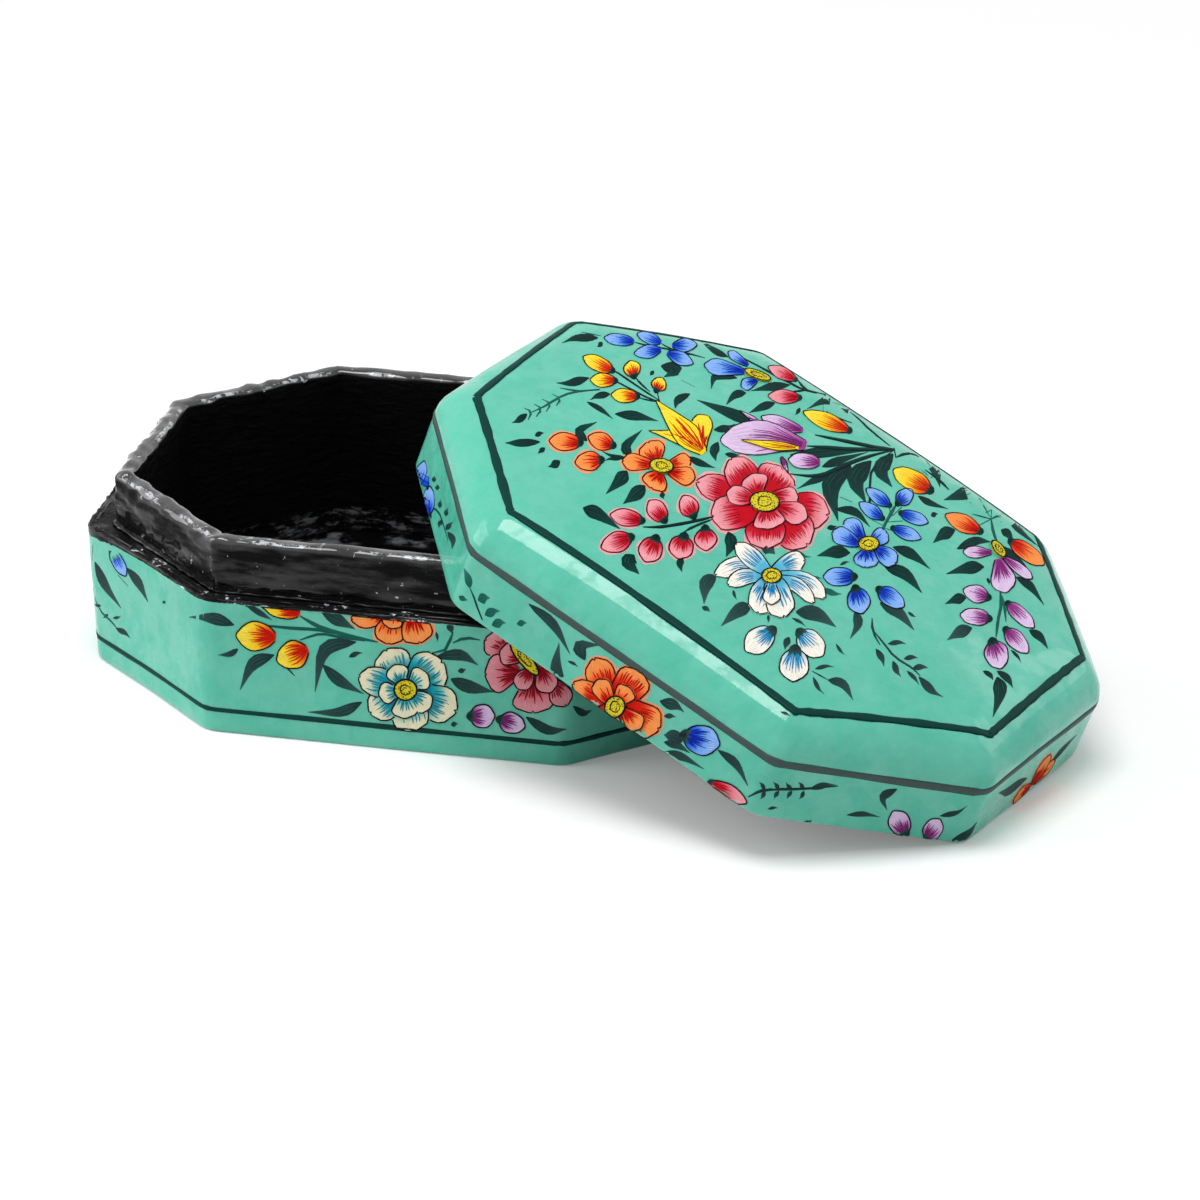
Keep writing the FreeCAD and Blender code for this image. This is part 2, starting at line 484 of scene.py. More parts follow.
def lid_rows(sizes):
    """Rings from the middle of the ceiling, down the hollow, round the rim and up to the crown."""
    over, shoulder, reach, thick = sizes.overhang, LID_SHOULDER, LID_REACH, LID_THICKNESS
    outer_radius, hollow = sizes.corner_radius - 0.3, sizes.ledge - 0.5
    rows, edges = [], []

    def put(inset, corner, height, edge, shrink=1.0, crown=None, uneven=0.0):
        flat = ring(sizes, inset, corner, 6, 14) * shrink
        tops = lid_crown(sizes, flat[:, 0], flat[:, 1])
        heights = np.full(len(flat), float(height)) if crown is None else tops + crown
        row = np.column_stack([flat, heights])
        if uneven:
            pushed(row, ripple(row, 3, 0.03, uneven) + ripple(row, 4, 0.11, uneven * 0.3))
            row[:, 2] += ripple(row, 8, 0.03, uneven * 0.6) * smooth(4, 20, row[:, 2])
        rows.append(row)
        edges.append(np.full(len(row), float(edge)))

    for shrink in (0.05, 0.25, 0.5, 0.75, 0.95):
        put(hollow + 2.5, 2.0, 0, -5, shrink, -thick)
    for angle in (90, 60, 30, 0):
        a = math.radians(angle)
        put(hollow + 2.5 * (1 - math.cos(a)), 3.5, 0, -5, 1, -thick - 2.5 * (1 - math.sin(a)))
    for height in (12, 6, 3, 1.2):
        put(hollow, 3.5, height, -3)
    rim = ((hollow - 0.3, 0.4, -1.2), (hollow - 1, 0.02, -0.4), (hollow - 2, 0, 0.3))
    for inset, height, edge in rim:
        put(inset, 4.5, height, edge)
    for angle in (0, 30, 60, 90):
        a = math.radians(angle)
        inset = 1 - over - math.sin(a)
        put(inset, outer_radius - 1 + math.sin(a), 1 - math.cos(a), 1 + angle / 45, 1, None, 0.3)
    flat = ring(sizes, -over, outer_radius, 6, 14)
    walls = lid_crown(sizes, flat[:, 0], flat[:, 1]) - shoulder
    for k in range(1, 12):
        put(-over, outer_radius, 0, 4)
        wall = rows[-1]
        wall[:, 2] = 1 + (walls - 1) * k / 11
        pushed(wall, ripple(wall, 3, 0.03, 0.3) + ripple(wall, 4, 0.11, 0.09))
    for k in range(1, 10):
        a = math.radians(10 * k)
        inset, fall = -over + reach * (1 - math.cos(a)), shoulder * (math.sin(a) - 1)
        put(inset, max(2.0, outer_radius - 0.5 * (inset + over)), 0, 5, 1, fall, 0.3)
    last = -over + reach
    for k in range(1, 20):
        put(last, max(2.0, outer_radius - 0.5 * shoulder), 0, 5, 1 - k / 20, 0.0, 0.3)
    return rows, edges


# Laying paint

class Surface:
    """The finished skin of a body, on which spots of a flat drawing are found."""

    def __init__(self, name):
        mesh = bpy.data.objects[name].data
        points = [v.co / MM for v in mesh.vertices]
        edge = [mark.value for mark in mesh.attributes["edge"].data]
        faces = [tuple(p.vertices) for p in mesh.polygons]
        green = [f for f in faces if min(edge[v] for v in f) > -0.2]
        self.skin = BVHTree.FromPolygons(points, green)
        self.middle = sum(points, Vector()) / len(points)

    def spot(self, start, way):
        """Where a line of sight meets the skin, with the skin's outward way."""
        place, normal, _, _ = self.skin.ray_cast(start, way)
        if place is None or normal.dot(way) > 0:
            place = self.middle
            for _ in range(6):
                beside = start + way * (place - start).dot(way)
                place, normal, _, _ = self.skin.find_nearest(beside)
        return place, normal


class ReferenceView:
    """Drawing pixels of the reference view, along the camera's lines of sight."""

    def sight(self, x, y):
        half = PICTURE / 2
        way = RIGHT * ((x - half) / FOCAL) + UP * ((half - y) / FOCAL) - BACK
        return EYE, way.normalized()


class SquareView:
    """A side seen square on, in the same pixels, from a middle and its own level way."""

    def __init__(self, middle, level, outward):
        self.middle, self.outward = middle, outward.normalized()
        self.level = level.normalized()
        self.rise = self.outward.cross(self.level)

    def sight(self, x, y):
        spot = self.middle + self.level * (x / PIXELS_PER_MM) - self.rise * (y / PIXELS_PER_MM)
        return spot + self.outward * SIGHT_START, -self.outward


def mixed(first, second, share):
    return tuple(a + (b - a) * share for a, b in zip(first, second))


def ramp(stops, share):
    """A colour along a row of evenly spaced colours."""
    place = min(max(share, 0), 0.9999) * (len(stops) - 1)
    k = int(place)
    return mixed(stops[k], stops[k + 1], place - k)


# Paints from a petal's base to its tip, then dark streaks, light streaks and the halo
INK = (22, 18, 22)
LILY_RED = (216, 40, 12)
CRUST_BLACK = (10, 10, 11)
PAINTS = {
    "pink": (
        [(196, 8, 30), (214, 36, 62), (232, 122, 136), (244, 158, 168), (246, 166, 174)],
        (188, 4, 28), (255, 216, 216), (242, 166, 170),
    ),
    "rose": (
        [(170, 20, 40), (190, 48, 66), (222, 120, 132), (232, 150, 160), (232, 150, 160)],
        (150, 14, 30), (246, 200, 200), None,
    ),
    "orange": (
        [(214, 24, 12), (236, 62, 28), (255, 140, 66), (255, 152, 78), (255, 156, 84)],
        (196, 14, 6), (255, 196, 130), (252, 154, 110),
    ),
    "yellow": (
        [(214, 26, 12), (240, 96, 20), (255, 206, 40), (255, 226, 56), (255, 230, 66)],
        (206, 26, 10), (255, 244, 160), None,
    ),
    "blue": (
        [(16, 56, 200), (36, 96, 222), (112, 164, 240), (136, 182, 248), (136, 182, 248)],
        (12, 44, 176), (210, 228, 255), None,
    ),
    "white": (
        [(84, 178, 212), (196, 224, 226), (246, 242, 230), (250, 245, 234), (250, 245, 234)],
        (24, 140, 198), (255, 254, 248), None,
    ),
    "cream": (
        [(14, 150, 170), (70, 180, 184), (226, 226, 192), (238, 232, 198), (238, 232, 198)],
        (10, 140, 162), (252, 250, 226), None,
    ),
    "lilac": (
        [(150, 52, 136), (176, 100, 168), (216, 178, 224), (226, 200, 234), (226, 200, 234)],
        (136, 42, 122), (246, 232, 250), None,
    ),
    "lily": (
        [(250, 214, 30), (255, 226, 40), (255, 230, 60)],
        (206, 40, 14), (255, 240, 120), None,
    ),
    "leaf": (
        [(7, 40, 37), (9, 48, 44), (18, 70, 63)],
        None, None, None,
    ),
    # A paler copy of the leaf paint: painted sheen on leaves, stems and bud caps
    "grey": (
        [(30, 55, 55), (38, 66, 64), (54, 88, 84)],
        None, None, None,
    ),
    "teal": (
        [(22, 88, 78), (28, 98, 87), (50, 128, 114)],
        None, None, None,
    ),
}
EYE_YELLOW, EYE_GREEN, EYE_BROWN = (232, 214, 44), (176, 168, 30), (52, 42, 14)

# How wide a blade is along its length, from base to tip, as a share of its full width
PROFILES = {
    "bud": (0.22, 0.62, 0.86, 0.97, 1.0, 0.95, 0.82, 0.58, 0.1),
    "fan": (0.5, 0.68, 0.82, 0.92, 0.99, 1.0, 0.94, 0.76, 0.14),
    "petal": (0.26, 0.48, 0.66, 0.82, 0.94, 1.0, 0.96, 0.76, 0.12),
    "leaf": (0.12, 0.66, 0.96, 0.98, 0.78, 0.52, 0.3, 0.16, 0.04),
    "long": (0.1, 0.58, 0.88, 1.0, 0.96, 0.76, 0.5, 0.25, 0.04),
    "trumpet": (0.2, 0.34, 0.5, 0.66, 0.8, 0.92, 1.0, 0.9, 0.5),
    "spear": (0.3, 0.6, 0.85, 1.0, 0.95, 0.75, 0.5, 0.25, 0.04),
}
# How deep a coat of paint reaches below its upper face
PAINT_DEPTH = 0.55
# How far each kind of coat, the border lines and the lily's streaks stand off the skin
LIFTS = {"halo": 0.03, "stem": 0.04, "leaf": 0.05, "petal": 0.1, "inner": 0.27, "eye": 0.47}
LINE_LIFT, STREAK_LIFT = 0.07, 0.2
# How far fine lines, outlines, the caps of buds and the veins of leaves stand off their coat
HAIR_LIFT, OUTLINE_LIFT, CAP_LIFT, VEIN_LIFT = 0.03, 0.04, 0.07, 0.025
# Later petals of a flower stand a little prouder, over this many steps
PETAL_STEP, PETAL_STEPS = 0.018, 9
# How many pixels a halo is longer and wider than its petal
HALO_TIP, HALO_WIDTH = 2.2, 4.5
# The widths in pixels of fine lines: streaks, outlines, the rim of a flower's centre
DARK_STREAK, PALE_STREAK, LILY_STREAK, OUTLINE, EYE_RIM = 1.35, 0.8, 2.2, 1.5, 1.9
# How far apart in pixels the spots of a bent line are
CURVE_STEP = 9.0
# No flower centre gets more dots than this on a square metre
MOST_DOTS = 4.0e6
# How far outside a body a line of sight starts when the side is seen square on
SIGHT_START, LINE_START = 60.0, 12.0
# How many times further apart than in the drawing two neighbouring spots may lie on the skin
MOST_STRETCH = {"stems": 5.0, "leaves": 5.0, "petals": 10.0, "hairs": 8.0, "outlines": 10.0}


class Painter:
    """Collects the coats of paint of one body and makes them pieces."""

    def __init__(self, surface, view, seed):
        self.surface, self.view = surface, view
        self.chance = random.Random(seed)
        self.fills = {}
        self.strokes = {}
        self.held, self.shapes = None, []

    def begin(self):
        """From here on, later petals cover the lines of earlier ones."""
        self.held, self.shapes = [], []

    def end(self):
        """Draw the lines held since begin, where nothing covers them."""
        held, self.held = self.held, None
        for level, layer, points, *rest in held:
            for run in uncovered(points, self.shapes[level:]):
                self.stroke(layer, run, *rest)
        self.shapes = []

    def torn(self, layer, flat, spots):
        """Whether the skin parts two neighbouring spots much more than the drawing does."""
        drawn = math.dist(*flat) / PIXELS_PER_MM + 0.15
        return (spots[0][0] - spots[1][0]).length > MOST_STRETCH[layer] * drawn

    def place(self, x, y, lift):
        spot, normal = self.surface.spot(*self.view.sight(x, y))
        return spot + normal * lift, normal

    def stroke(self, layer, points, width, colour, lift, taper=True):
        """A brush line through drawing points, its width in pixels."""
        if self.held is not None:
            self.held.append((len(self.shapes), layer, points, width, colour, lift, taper))
            return
        spots = [self.place(x, y, lift) for x, y in points]
        runs, run = [], [spots[0]]
        for k in range(1, len(points)):
            if self.torn(layer, points[k - 1:k + 1], spots[k - 1:k + 1]):
                runs.append(run)
                run = []
            run.append(spots[k])
        spots = max(runs + [run], key=len)
        if len(spots) < 3 and runs:
            return
        last = len(spots) - 1
        widths = []
        for i in range(len(spots)):
            share = i / last
            thin = min(1.0, 0.35 + 2.6 * min(share, 1 - share)) if taper else 1.0
            widths.append(width / PIXELS_PER_MM * thin * self.chance.uniform(0.88, 1.12))
        self.strokes.setdefault(layer, []).append((spots, widths, colour))

    def curve(self, layer, points, width, colour, lift):
        """A brush line bent smoothly through its points, with a spot every few pixels."""
        self.stroke(layer, bent(points, CURVE_STEP), width, colour, lift)

    def blade(self, layer, spine, width, stops, profile, lift, notch=0.0, start=0.0):
        """A filled petal or leaf along its spine. Returns a function from shares to its spots."""
        shape = PROFILES[profile]
        spine = bent(spine, count=len(shape))
        across = 5
        skew = self.chance.uniform(-0.07, 0.07)
        wave = self.chance.uniform(0, 6.28)
        spine = np.array(spine)
        ways = np.gradient(spine, axis=0)
        ways /= np.maximum(np.linalg.norm(ways, axis=1), 1e-6)[:, None]
        sideways = np.stack([-ways[:, 1], ways[:, 0]], 1)

        def at(along, side):
            k = min(max(along, 0), 0.9999) * (len(shape) - 1)
            i, part = int(k), k - int(k)
            middle = spine[i] * (1 - part) + spine[i + 1] * part
            way = sideways[i] * (1 - part) + sideways[i + 1] * part
            half = (shape[i] * (1 - part) + shape[i + 1] * part) * width / 2
            bow = notch * (1 - min(1.0, abs(side - skew * 3) / 0.4)) * smooth(0.6, 1.0, along)
            inward = (spine[0] - spine[-1]) * bow
            rim = 1 + 0.05 * math.sin(wave + along * 9)
            return middle + way * half * (side * rim + skew * (1 - side * side)) + inward

        grid, paints = [], []
        for i in range(len(shape)):
            along = i / (len(shape) - 1)
            for j in range(across):
                side = -1 + 2 * j / (across - 1)
                grid.append(at(along, side))
                share = (along - start) / (1 - start)
                paints.append(ramp(stops, share + 0.16 * side * side - 0.06))
        spots = [self.place(x, y, lift) for x, y in grid]
        runs, run = [], [0]
        for i in range(1, len(shape)):
            steps = [(k, k - across) for k in range(i * across, (i + 1) * across)]
            if any(self.torn(layer, (grid[a], grid[b]), (spots[a], spots[b])) for a, b in steps):
                runs.append(run)
                run = []
            run.append(i)
        run = max(runs + [run], key=len)
        if len(run) < 4:
            return None
        low, high = run[0] * across, (run[-1] + 1) * across
        coat = (spots[low:high], len(run), across, False, paints[low:high])
        self.fills.setdefault(layer, []).append(coat)
        return at

    def petal(
        self, paint, spine, width, profile="petal", inner=False, notch=0.0, halo=True, start=0.0
    ):
        """A petal or bud: its fill, dark streaks from the base, pale ones at the tip, its rim."""
        stops, dark, pale, glow = PAINTS[paint]
        lift = LIFTS["inner" if inner else "petal"] + PETAL_STEP * (len(self.shapes) % PETAL_STEPS)
        if glow and halo and not inner:
            ends = np.array(spine, float)
            tip = ends[-1] + unit(ends[-1] - ends[0]) * HALO_TIP
            longer = [*map(tuple, ends[:-1]), tuple(tip)]
            wide = width + HALO_WIDTH
            self.blade("petals", longer, wide, [glow, glow], profile, LIFTS["halo"], notch)
        at = self.blade("petals", spine, width, stops, profile, lift, notch, start)
        if at is None:
            return
        ring_spots = [at(s, -1) for s in np.linspace(0.02, 0.97, 9)]
        ring_spots += [at(0.995, s) for s in (-0.6, 0.0, 0.6)]
        ring_spots += [at(s, 1) for s in np.linspace(0.97, 0.02, 9)]
        if self.held is not None:
            self.shapes.append(np.array(ring_spots))
        size = math.dist(spine[0], spine[-1])
        count = int(min(13, max(4, width / 2.3)))
        for k in range(count):
            side = -0.82 + 1.64 * (k + 0.5) / count
            side += self.chance.uniform(-0.06, 0.06)
            reach = self.chance.uniform(0.46, 0.78) * (1 - 0.22 * abs(side))
            reach = start + reach * (1 - start)
            steps = np.linspace(start + 0.05, reach, 4)
            path = [at(s, side * (0.55 + 0.45 * s / reach)) for s in steps]
            self.stroke("hairs", path, DARK_STREAK, dark, lift + HAIR_LIFT)
            if size > 12 and k % 2 == 0:
                top = self.chance.uniform(0.86, 0.93)
                low = self.chance.uniform(0.6, 0.7)
                path = [at(s, side * 0.86) for s in (top, (top + low) / 2, low)]
                tone = mixed(pale, stops[-1], 0.35)
                self.stroke("hairs", path, PALE_STREAK, tone, lift + HAIR_LIFT)
        self.stroke("outlines", ring_spots, OUTLINE, INK, lift + OUTLINE_LIFT, taper=False)

    def bud(self, paint, spine, width, cap="leaf", halo=True):
        """A bud with its small dark cap at the base."""
        self.petal(paint, spine, width, "bud", halo=halo)
        if cap:
            base, tip = np.array(spine[0], float), np.array(spine[-1], float)
            way = unit(tip - base)
            side = np.array([-way[1], way[0]])
            for turn in (-0.75, 0.0, 0.75):
                end = base + (way * 0.26 + side * turn * 0.3) * width
                start = base - way * width * 0.14
                sepal, lift = [tuple(start), tuple(end)], LIFTS["petal"] + CAP_LIFT
                self.blade("leaves", sepal, width * 0.22, PAINTS[cap][0], "spear", lift)

    def leaf(self, spine, width, paint):
        """A dark leaf, with pale veins where it is wide enough."""
        size = math.dist(spine[0], spine[-1])
        profile = "leaf" if len(spine) == 2 and size < 45 else "long"
        if len(spine) == 2:
            ends = np.array(spine, float)
            way = ends[1] - ends[0]
            bow = self.chance.choice((-1, 1)) * self.chance.uniform(0.05, 0.1)
            middle = ends[0] + way * 0.6 + np.array([-way[1], way[0]]) * bow
            spine = [tuple(ends[0]), tuple(middle), tuple(ends[1])]
        at = self.blade("leaves", spine, width * 1.05, PAINTS[paint][0], profile, LIFTS["leaf"])
        if width > 8 and at:
            tone = mixed(PAINTS[paint][0][2], PAINTS["teal"][0][1], 0.6)
            for side, low, high in ((0.25, 0.12, 0.68), (-0.4, 0.2, 0.46), (0.6, 0.26, 0.5)):
                path = [at(s, side) for s in np.linspace(low, high, 4)]
                self.stroke("hairs", path, PALE_STREAK, tone, LIFTS["leaf"] + VEIN_LIFT)

    def eye(self, x, y, wide, high, turn=0.0):
        """A yellow flower centre with a stippled ring."""
        lift = LIFTS["eye"]
        grid, paints = [], []
        c, s = math.cos(math.radians(turn)), math.sin(math.radians(turn))

        def at(r, a):
            u, v = r * wide / 2 * math.cos(a), r * high / 2 * math.sin(a)
            return x + u * c - v * s, y + u * s + v * c

        for r in (0.08, 0.4, 0.7, 1.0):
            for k in range(12):
                grid.append(at(r, k * math.pi / 6))
                share = self.chance.uniform(0, 0.35) + 0.3 * (r > 0.9)
                paints.append(mixed(EYE_YELLOW, EYE_GREEN, share))
        spots = [self.place(u, v, lift) for u, v in grid]
        self.fills.setdefault("eyes", []).append((spots, 4, 12, True, paints))
        if self.held is not None:
            self.shapes.append(np.array([at(0.97, k * math.pi / 8) for k in range(16)]))
        rim = [at(1.0, k * math.pi / 8) for k in range(17)]
        self.stroke("outlines", rim, EYE_RIM, INK, lift + HAIR_LIFT, taper=False)
        mid = [at(0.5 + self.chance.uniform(-0.06, 0.06), k * math.pi / 4) for k in range(9)]
        self.stroke("hairs", mid, OUTLINE, EYE_BROWN, lift + HAIR_LIFT)

    def stems(self, rows, paint="leaf"):
        """Brush lines, each row a width and the points that it runs through."""
        for width, *points in rows:
            colour = mixed(PAINTS[paint][0][0], PAINTS[paint][0][1], self.chance.uniform(0, 1))
            self.curve("stems", pairs(points), width * 1.15, colour, LIFTS["stem"])

    def leaves(self, rows, paint="leaf"):
        """Leaves, each row a width and the spine from its foot to its tip."""
        for width, *points in rows:
            self.leaf(pairs(points), width, paint)

    def buds(self, paint, rows, cap="leaf", halo=True):
        """Buds, each row a width and the spine from its foot to its tip."""
        for width, *points in rows:
            self.bud(paint, pairs(points), width, cap, halo)

    def blossom(self, rows, inner=None, streaks=()):
        """A flower whose petals each have their own paint and form, and its long streaks."""
        self.begin()
        for paint, width, form, *points in rows:
            self.petal(paint, pairs(points), width, form, inner=paint == inner)
        for points in streaks:
            self.curve("hairs", pairs(points), LILY_STREAK, LILY_RED, STREAK_LIFT)
        self.end()

    def flower(self, paint, rows, inner=(), notch=0.06, eye=None):
        """A flower of one paint: its petals, the smaller ones on them, and its centre."""
        self.begin()
        for width, *points in rows:
            spine, form, start = pairs(points), "petal", 0.0
            if inner and eye:
                root = mixed(spine[0], eye[:2], 0.55)
                start = 0.2 + 0.8 * math.dist(root, spine[0]) / math.dist(root, spine[-1])
                spine, form = [root, *spine[1:]], "fan"
            self.petal(paint, spine, width, form, notch=notch, start=min(start, 0.5))
        for width, *points in inner:
            self.petal(paint, pairs(points), width, inner=True)
        if eye:
            self.eye(*eye)
        self.end()


def unit(vector):
    return vector / max(np.linalg.norm(vector), 1e-9)


def uncovered(points, shapes):
    """The runs of a line that no shape covers."""
    if not shapes:
        return [points]
    fine = []
    for a, b in zip(points, points[1:]):
        steps = max(1, int(math.dist(a, b) / 2))
        fine += [mixed(a, b, k / steps) for k in range(steps)]
    fine = np.array(fine + [tuple(points[-1])])
    hidden = np.zeros(len(fine), bool)
    for shape in shapes:
        following = np.roll(shape, -1, 0)
        x, y = fine[:, :1], fine[:, 1:]
        spans = (shape[:, 1] > y) != (following[:, 1] > y)
        rise = following[:, 1] - shape[:, 1]
        rise = np.where(np.abs(rise) < 1e-9, 1e-9, rise)
        where = shape[:, 0] + (following[:, 0] - shape[:, 0]) * (y - shape[:, 1]) / rise
        hidden |= (spans & (x < where)).sum(1) % 2 == 1
    runs, run = [], []
    for point, covered in zip(fine, hidden):
        if covered:
            runs.append(run)
            run = []
        else:
            run.append(tuple(point))
    runs.append(run)
    return [run for run in runs if len(run) > 2]


def pairs(numbers):
    return list(zip(numbers[::2], numbers[1::2]))


def bent(points, step=None, count=None):
    """A smooth row of points through a few given ones, a step apart or as many as count."""
    points = np.array(points, float)
    if len(points) == 2:
        total = count or max(2, int(math.dist(*points) / step) + 1)
        return [tuple(points[0] + (points[1] - points[0]) * s) for s in np.linspace(0, 1, total)]
    padded = np.vstack([2 * points[0] - points[1], points, 2 * points[-1] - points[-2]])
    length = np.linalg.norm(np.diff(points, axis=0), axis=1).sum()
    total = count or max(4, int(length / step) + 1)
    made = []
    for s in np.linspace(0, len(points) - 1.0001, total):
        i, t = int(s), s - int(s)
        a, b, c, d = padded[i:i + 4]
        square, cube = 2 * a - 5 * b + 4 * c - d, 3 * b - a - 3 * c + d
        made.append(tuple(0.5 * (2 * b + (c - a) * t + square * t * t + cube * t ** 3)))
    return made


def grid_faces(rows, columns, is_round):
    """The faces of a grid of spots, whose rows may close into rings."""
    faces = []
    for i in range(rows - 1):
        low, high = i * columns, (i + 1) * columns
        for j in range(columns if is_round else columns - 1):
            k = (j + 1) % columns
            faces.append((low + j, low + k, high + k, high + j))
    return faces


def fill_piece(name, fills, finish):
    """Thin closed coats of paint, each from its grid of spots."""
    points, faces, paints = [], [], []
    for spots, rows, columns, is_round, colours in fills:
        start, count = len(points), len(spots)
        tops = [tuple(p) for p, _ in spots]
        points += tops + [tuple(p - n * PAINT_DEPTH) for p, n in spots]
        paints += [linear(c) for c in colours] * 2
        along, across = Vector(tops[1]) - Vector(tops[0]), Vector(tops[columns]) - Vector(tops[0])
        flip = along.cross(across).dot(spots[0][1]) < 0
        quads = grid_faces(rows, columns, is_round)
        last, right = (rows - 1) * columns, columns - 1
        if is_round:
            quads.append(tuple(reversed(range(columns))))
            rim = [(last + (j + 1) % columns, last + j) for j in range(columns)]
        else:
            rim = [(j, j + 1) for j in range(right)]
            rim += [(i * columns + right, (i + 1) * columns + right) for i in range(rows - 1)]
            rim += [(last + j + 1, last + j) for j in range(right)]
            rim += [((i + 1) * columns, i * columns) for i in range(rows - 1)]
        made = quads + [tuple(count + v for v in reversed(q)) for q in quads]
        made += [(b, a, a + count, b + count) for a, b in rim]
        for face in made:
            faces.append(tuple(start + v for v in (reversed(face) if flip else face)))
    made = mesh_piece(name, points, faces, finish, {"paint": paints})
    made.data.set_sharp_from_angle(angle=math.radians(50))
    return made


def new_group(name, source, inputs, result):
    """A new Geometry Nodes group, its tree, and its inputs by name."""
    group = bpy.data.node_groups.new(name, "GeometryNodeTree")
    face = group.interface
    face.new_socket(name=source, in_out="INPUT", socket_type="NodeSocketGeometry")
    for label, kind, value in inputs:
        socket = face.new_socket(name=label, in_out="INPUT", socket_type=kind)
        if value is not None:
            socket.default_value = value
    face.new_socket(name=result, in_out="OUTPUT", socket_type="NodeSocketGeometry")
    tree = Tree(group.nodes, group.links)
    given = tree.nodes.new("NodeGroupInput")
    return group, tree, {s.name: Value(tree, s) for s in given.outputs if s.name}


def end_group(tree, shape, paint):
    """Ends a group in real geometry that has its material."""
    real = tree.add("GeometryNodeRealizeInstances", None, shape)
    done = tree.add("GeometryNodeSetMaterial", None, real, True, paint)
    result = tree.nodes.new("NodeGroupOutput")
    tree.links.new(done.socket, result.inputs[0])


def brush_tree():
    """Turns the lines of a mesh into flattened brush strokes as wide as each point says."""
    group, tree, inputs = new_group("Brush strokes", "Lines", (
        ("Sides", "NodeSocketInt", 6), ("Thickness", "NodeSocketFloat", 0.2),
        ("Wobble", "NodeSocketFloat", 0.2), ("Seed", "NodeSocketFloat", 3.0),
        ("Paint", "NodeSocketMaterial", None),
    ), "Strokes")
    curve = tree.add("GeometryNodeMeshToCurve", None, inputs["Lines"])
    capture = tree.nodes.new("GeometryNodeCaptureAttribute")
    capture.capture_items.new("VECTOR", "Middle")
    place = tree.add("GeometryNodeInputPosition")
    tree.links.new(curve.socket, capture.inputs[0])
    tree.links.new(place.socket, capture.inputs[1])
    profile = tree.add("GeometryNodeCurvePrimitiveCircle", None, inputs["Sides"], Radius=1.0)
    width = tree.add("GeometryNodeInputNamedAttribute", {"data_type": "FLOAT"}, "width")
    rough = tree.add("ShaderNodeTexNoise", {"noise_dimensions": "4D"}, place, inputs["Seed"], 900.0)
    wobble = 1.0 + (rough - 0.5) * inputs["Wobble"]
    tube = tree.add(
        "GeometryNodeCurveToMesh", None, Value(tree, capture.outputs[0]), profile,
        width * wobble * 0.5, True,
    )
    middle = Value(tree, capture.outputs[1])
    up = tree.add("GeometryNodeInputNamedAttribute", {"data_type": "FLOAT_VECTOR"}, "up")
    spot = tree.add("GeometryNodeInputPosition")
    off = tree.add("ShaderNodeVectorMath", {"operation": "SUBTRACT"}, spot, middle)
    rise = tree.add("ShaderNodeVectorMath", {"operation": "DOT_PRODUCT"}, off, up, out=1)
    fall = rise * (inputs["Thickness"] - 1.0)
    back = tree.add("ShaderNodeVectorMath", {"operation": "SCALE"}, up, Scale=fall)
    flat = tree.add("GeometryNodeSetPosition", None, tube, True, None, back)
    end_group(tree, flat, inputs["Paint"])
    return group


def stroke_piece(name, strokes, group, sides, thickness, finish, wobble=0.2):
    """All strokes of one kind on one body as a plain mesh."""
    mesh = bpy.data.meshes.new(name + "_lines")
    points, ups, widths, paints, edges = [], [], [], [], []
    for spots, wide, colour in strokes:
        start = len(points)
        points += [p * MM for p, _ in spots]
        ups += [tuple(n) for _, n in spots]
        widths += [w * MM for w in wide]
        paints += [linear(colour)] * len(spots)
        edges += [(start + i, start + i + 1) for i in range(len(spots) - 1)]
    mesh.from_pydata(points, edges, [])
    for label, kind, field, values in (
        ("up", "FLOAT_VECTOR", "vector", ups), ("width", "FLOAT", "value", widths),
        ("paint", "FLOAT_COLOR", "color", paints),
    ):
        flat = np.array(values, np.float32).ravel()
        mesh.attributes.new(label, kind, "POINT").data.foreach_set(field, flat)
    source = bpy.data.objects.new(name + "_lines", mesh)
    settings = {"Sides": sides, "Thickness": thickness, "Wobble": wobble, "Paint": finish}
    return grown(source, group, name, settings)


def grown(source, group, name, settings):
    """The result of a node tree on a source object, as a plain mesh piece."""
    bpy.context.scene.collection.objects.link(source)
    modifier = source.modifiers.new("grow", "NODES")
    modifier.node_group = group
    for socket in group.interface.items_tree:
        is_input = socket.item_type == "SOCKET" and socket.in_out == "INPUT"
        if is_input and socket.name in settings:
            modifier[socket.identifier] = settings[socket.name]
    graph = bpy.context.evaluated_depsgraph_get()
    mesh = bpy.data.meshes.new_from_object(source.evaluated_get(graph))
    source.modifiers.remove(modifier)
    bpy.data.objects.remove(source)
    mesh.name = name
    mesh.shade_smooth()
    made = bpy.data.objects.new(name, mesh)
    bpy.context.scene.collection.objects.link(made)
    return made


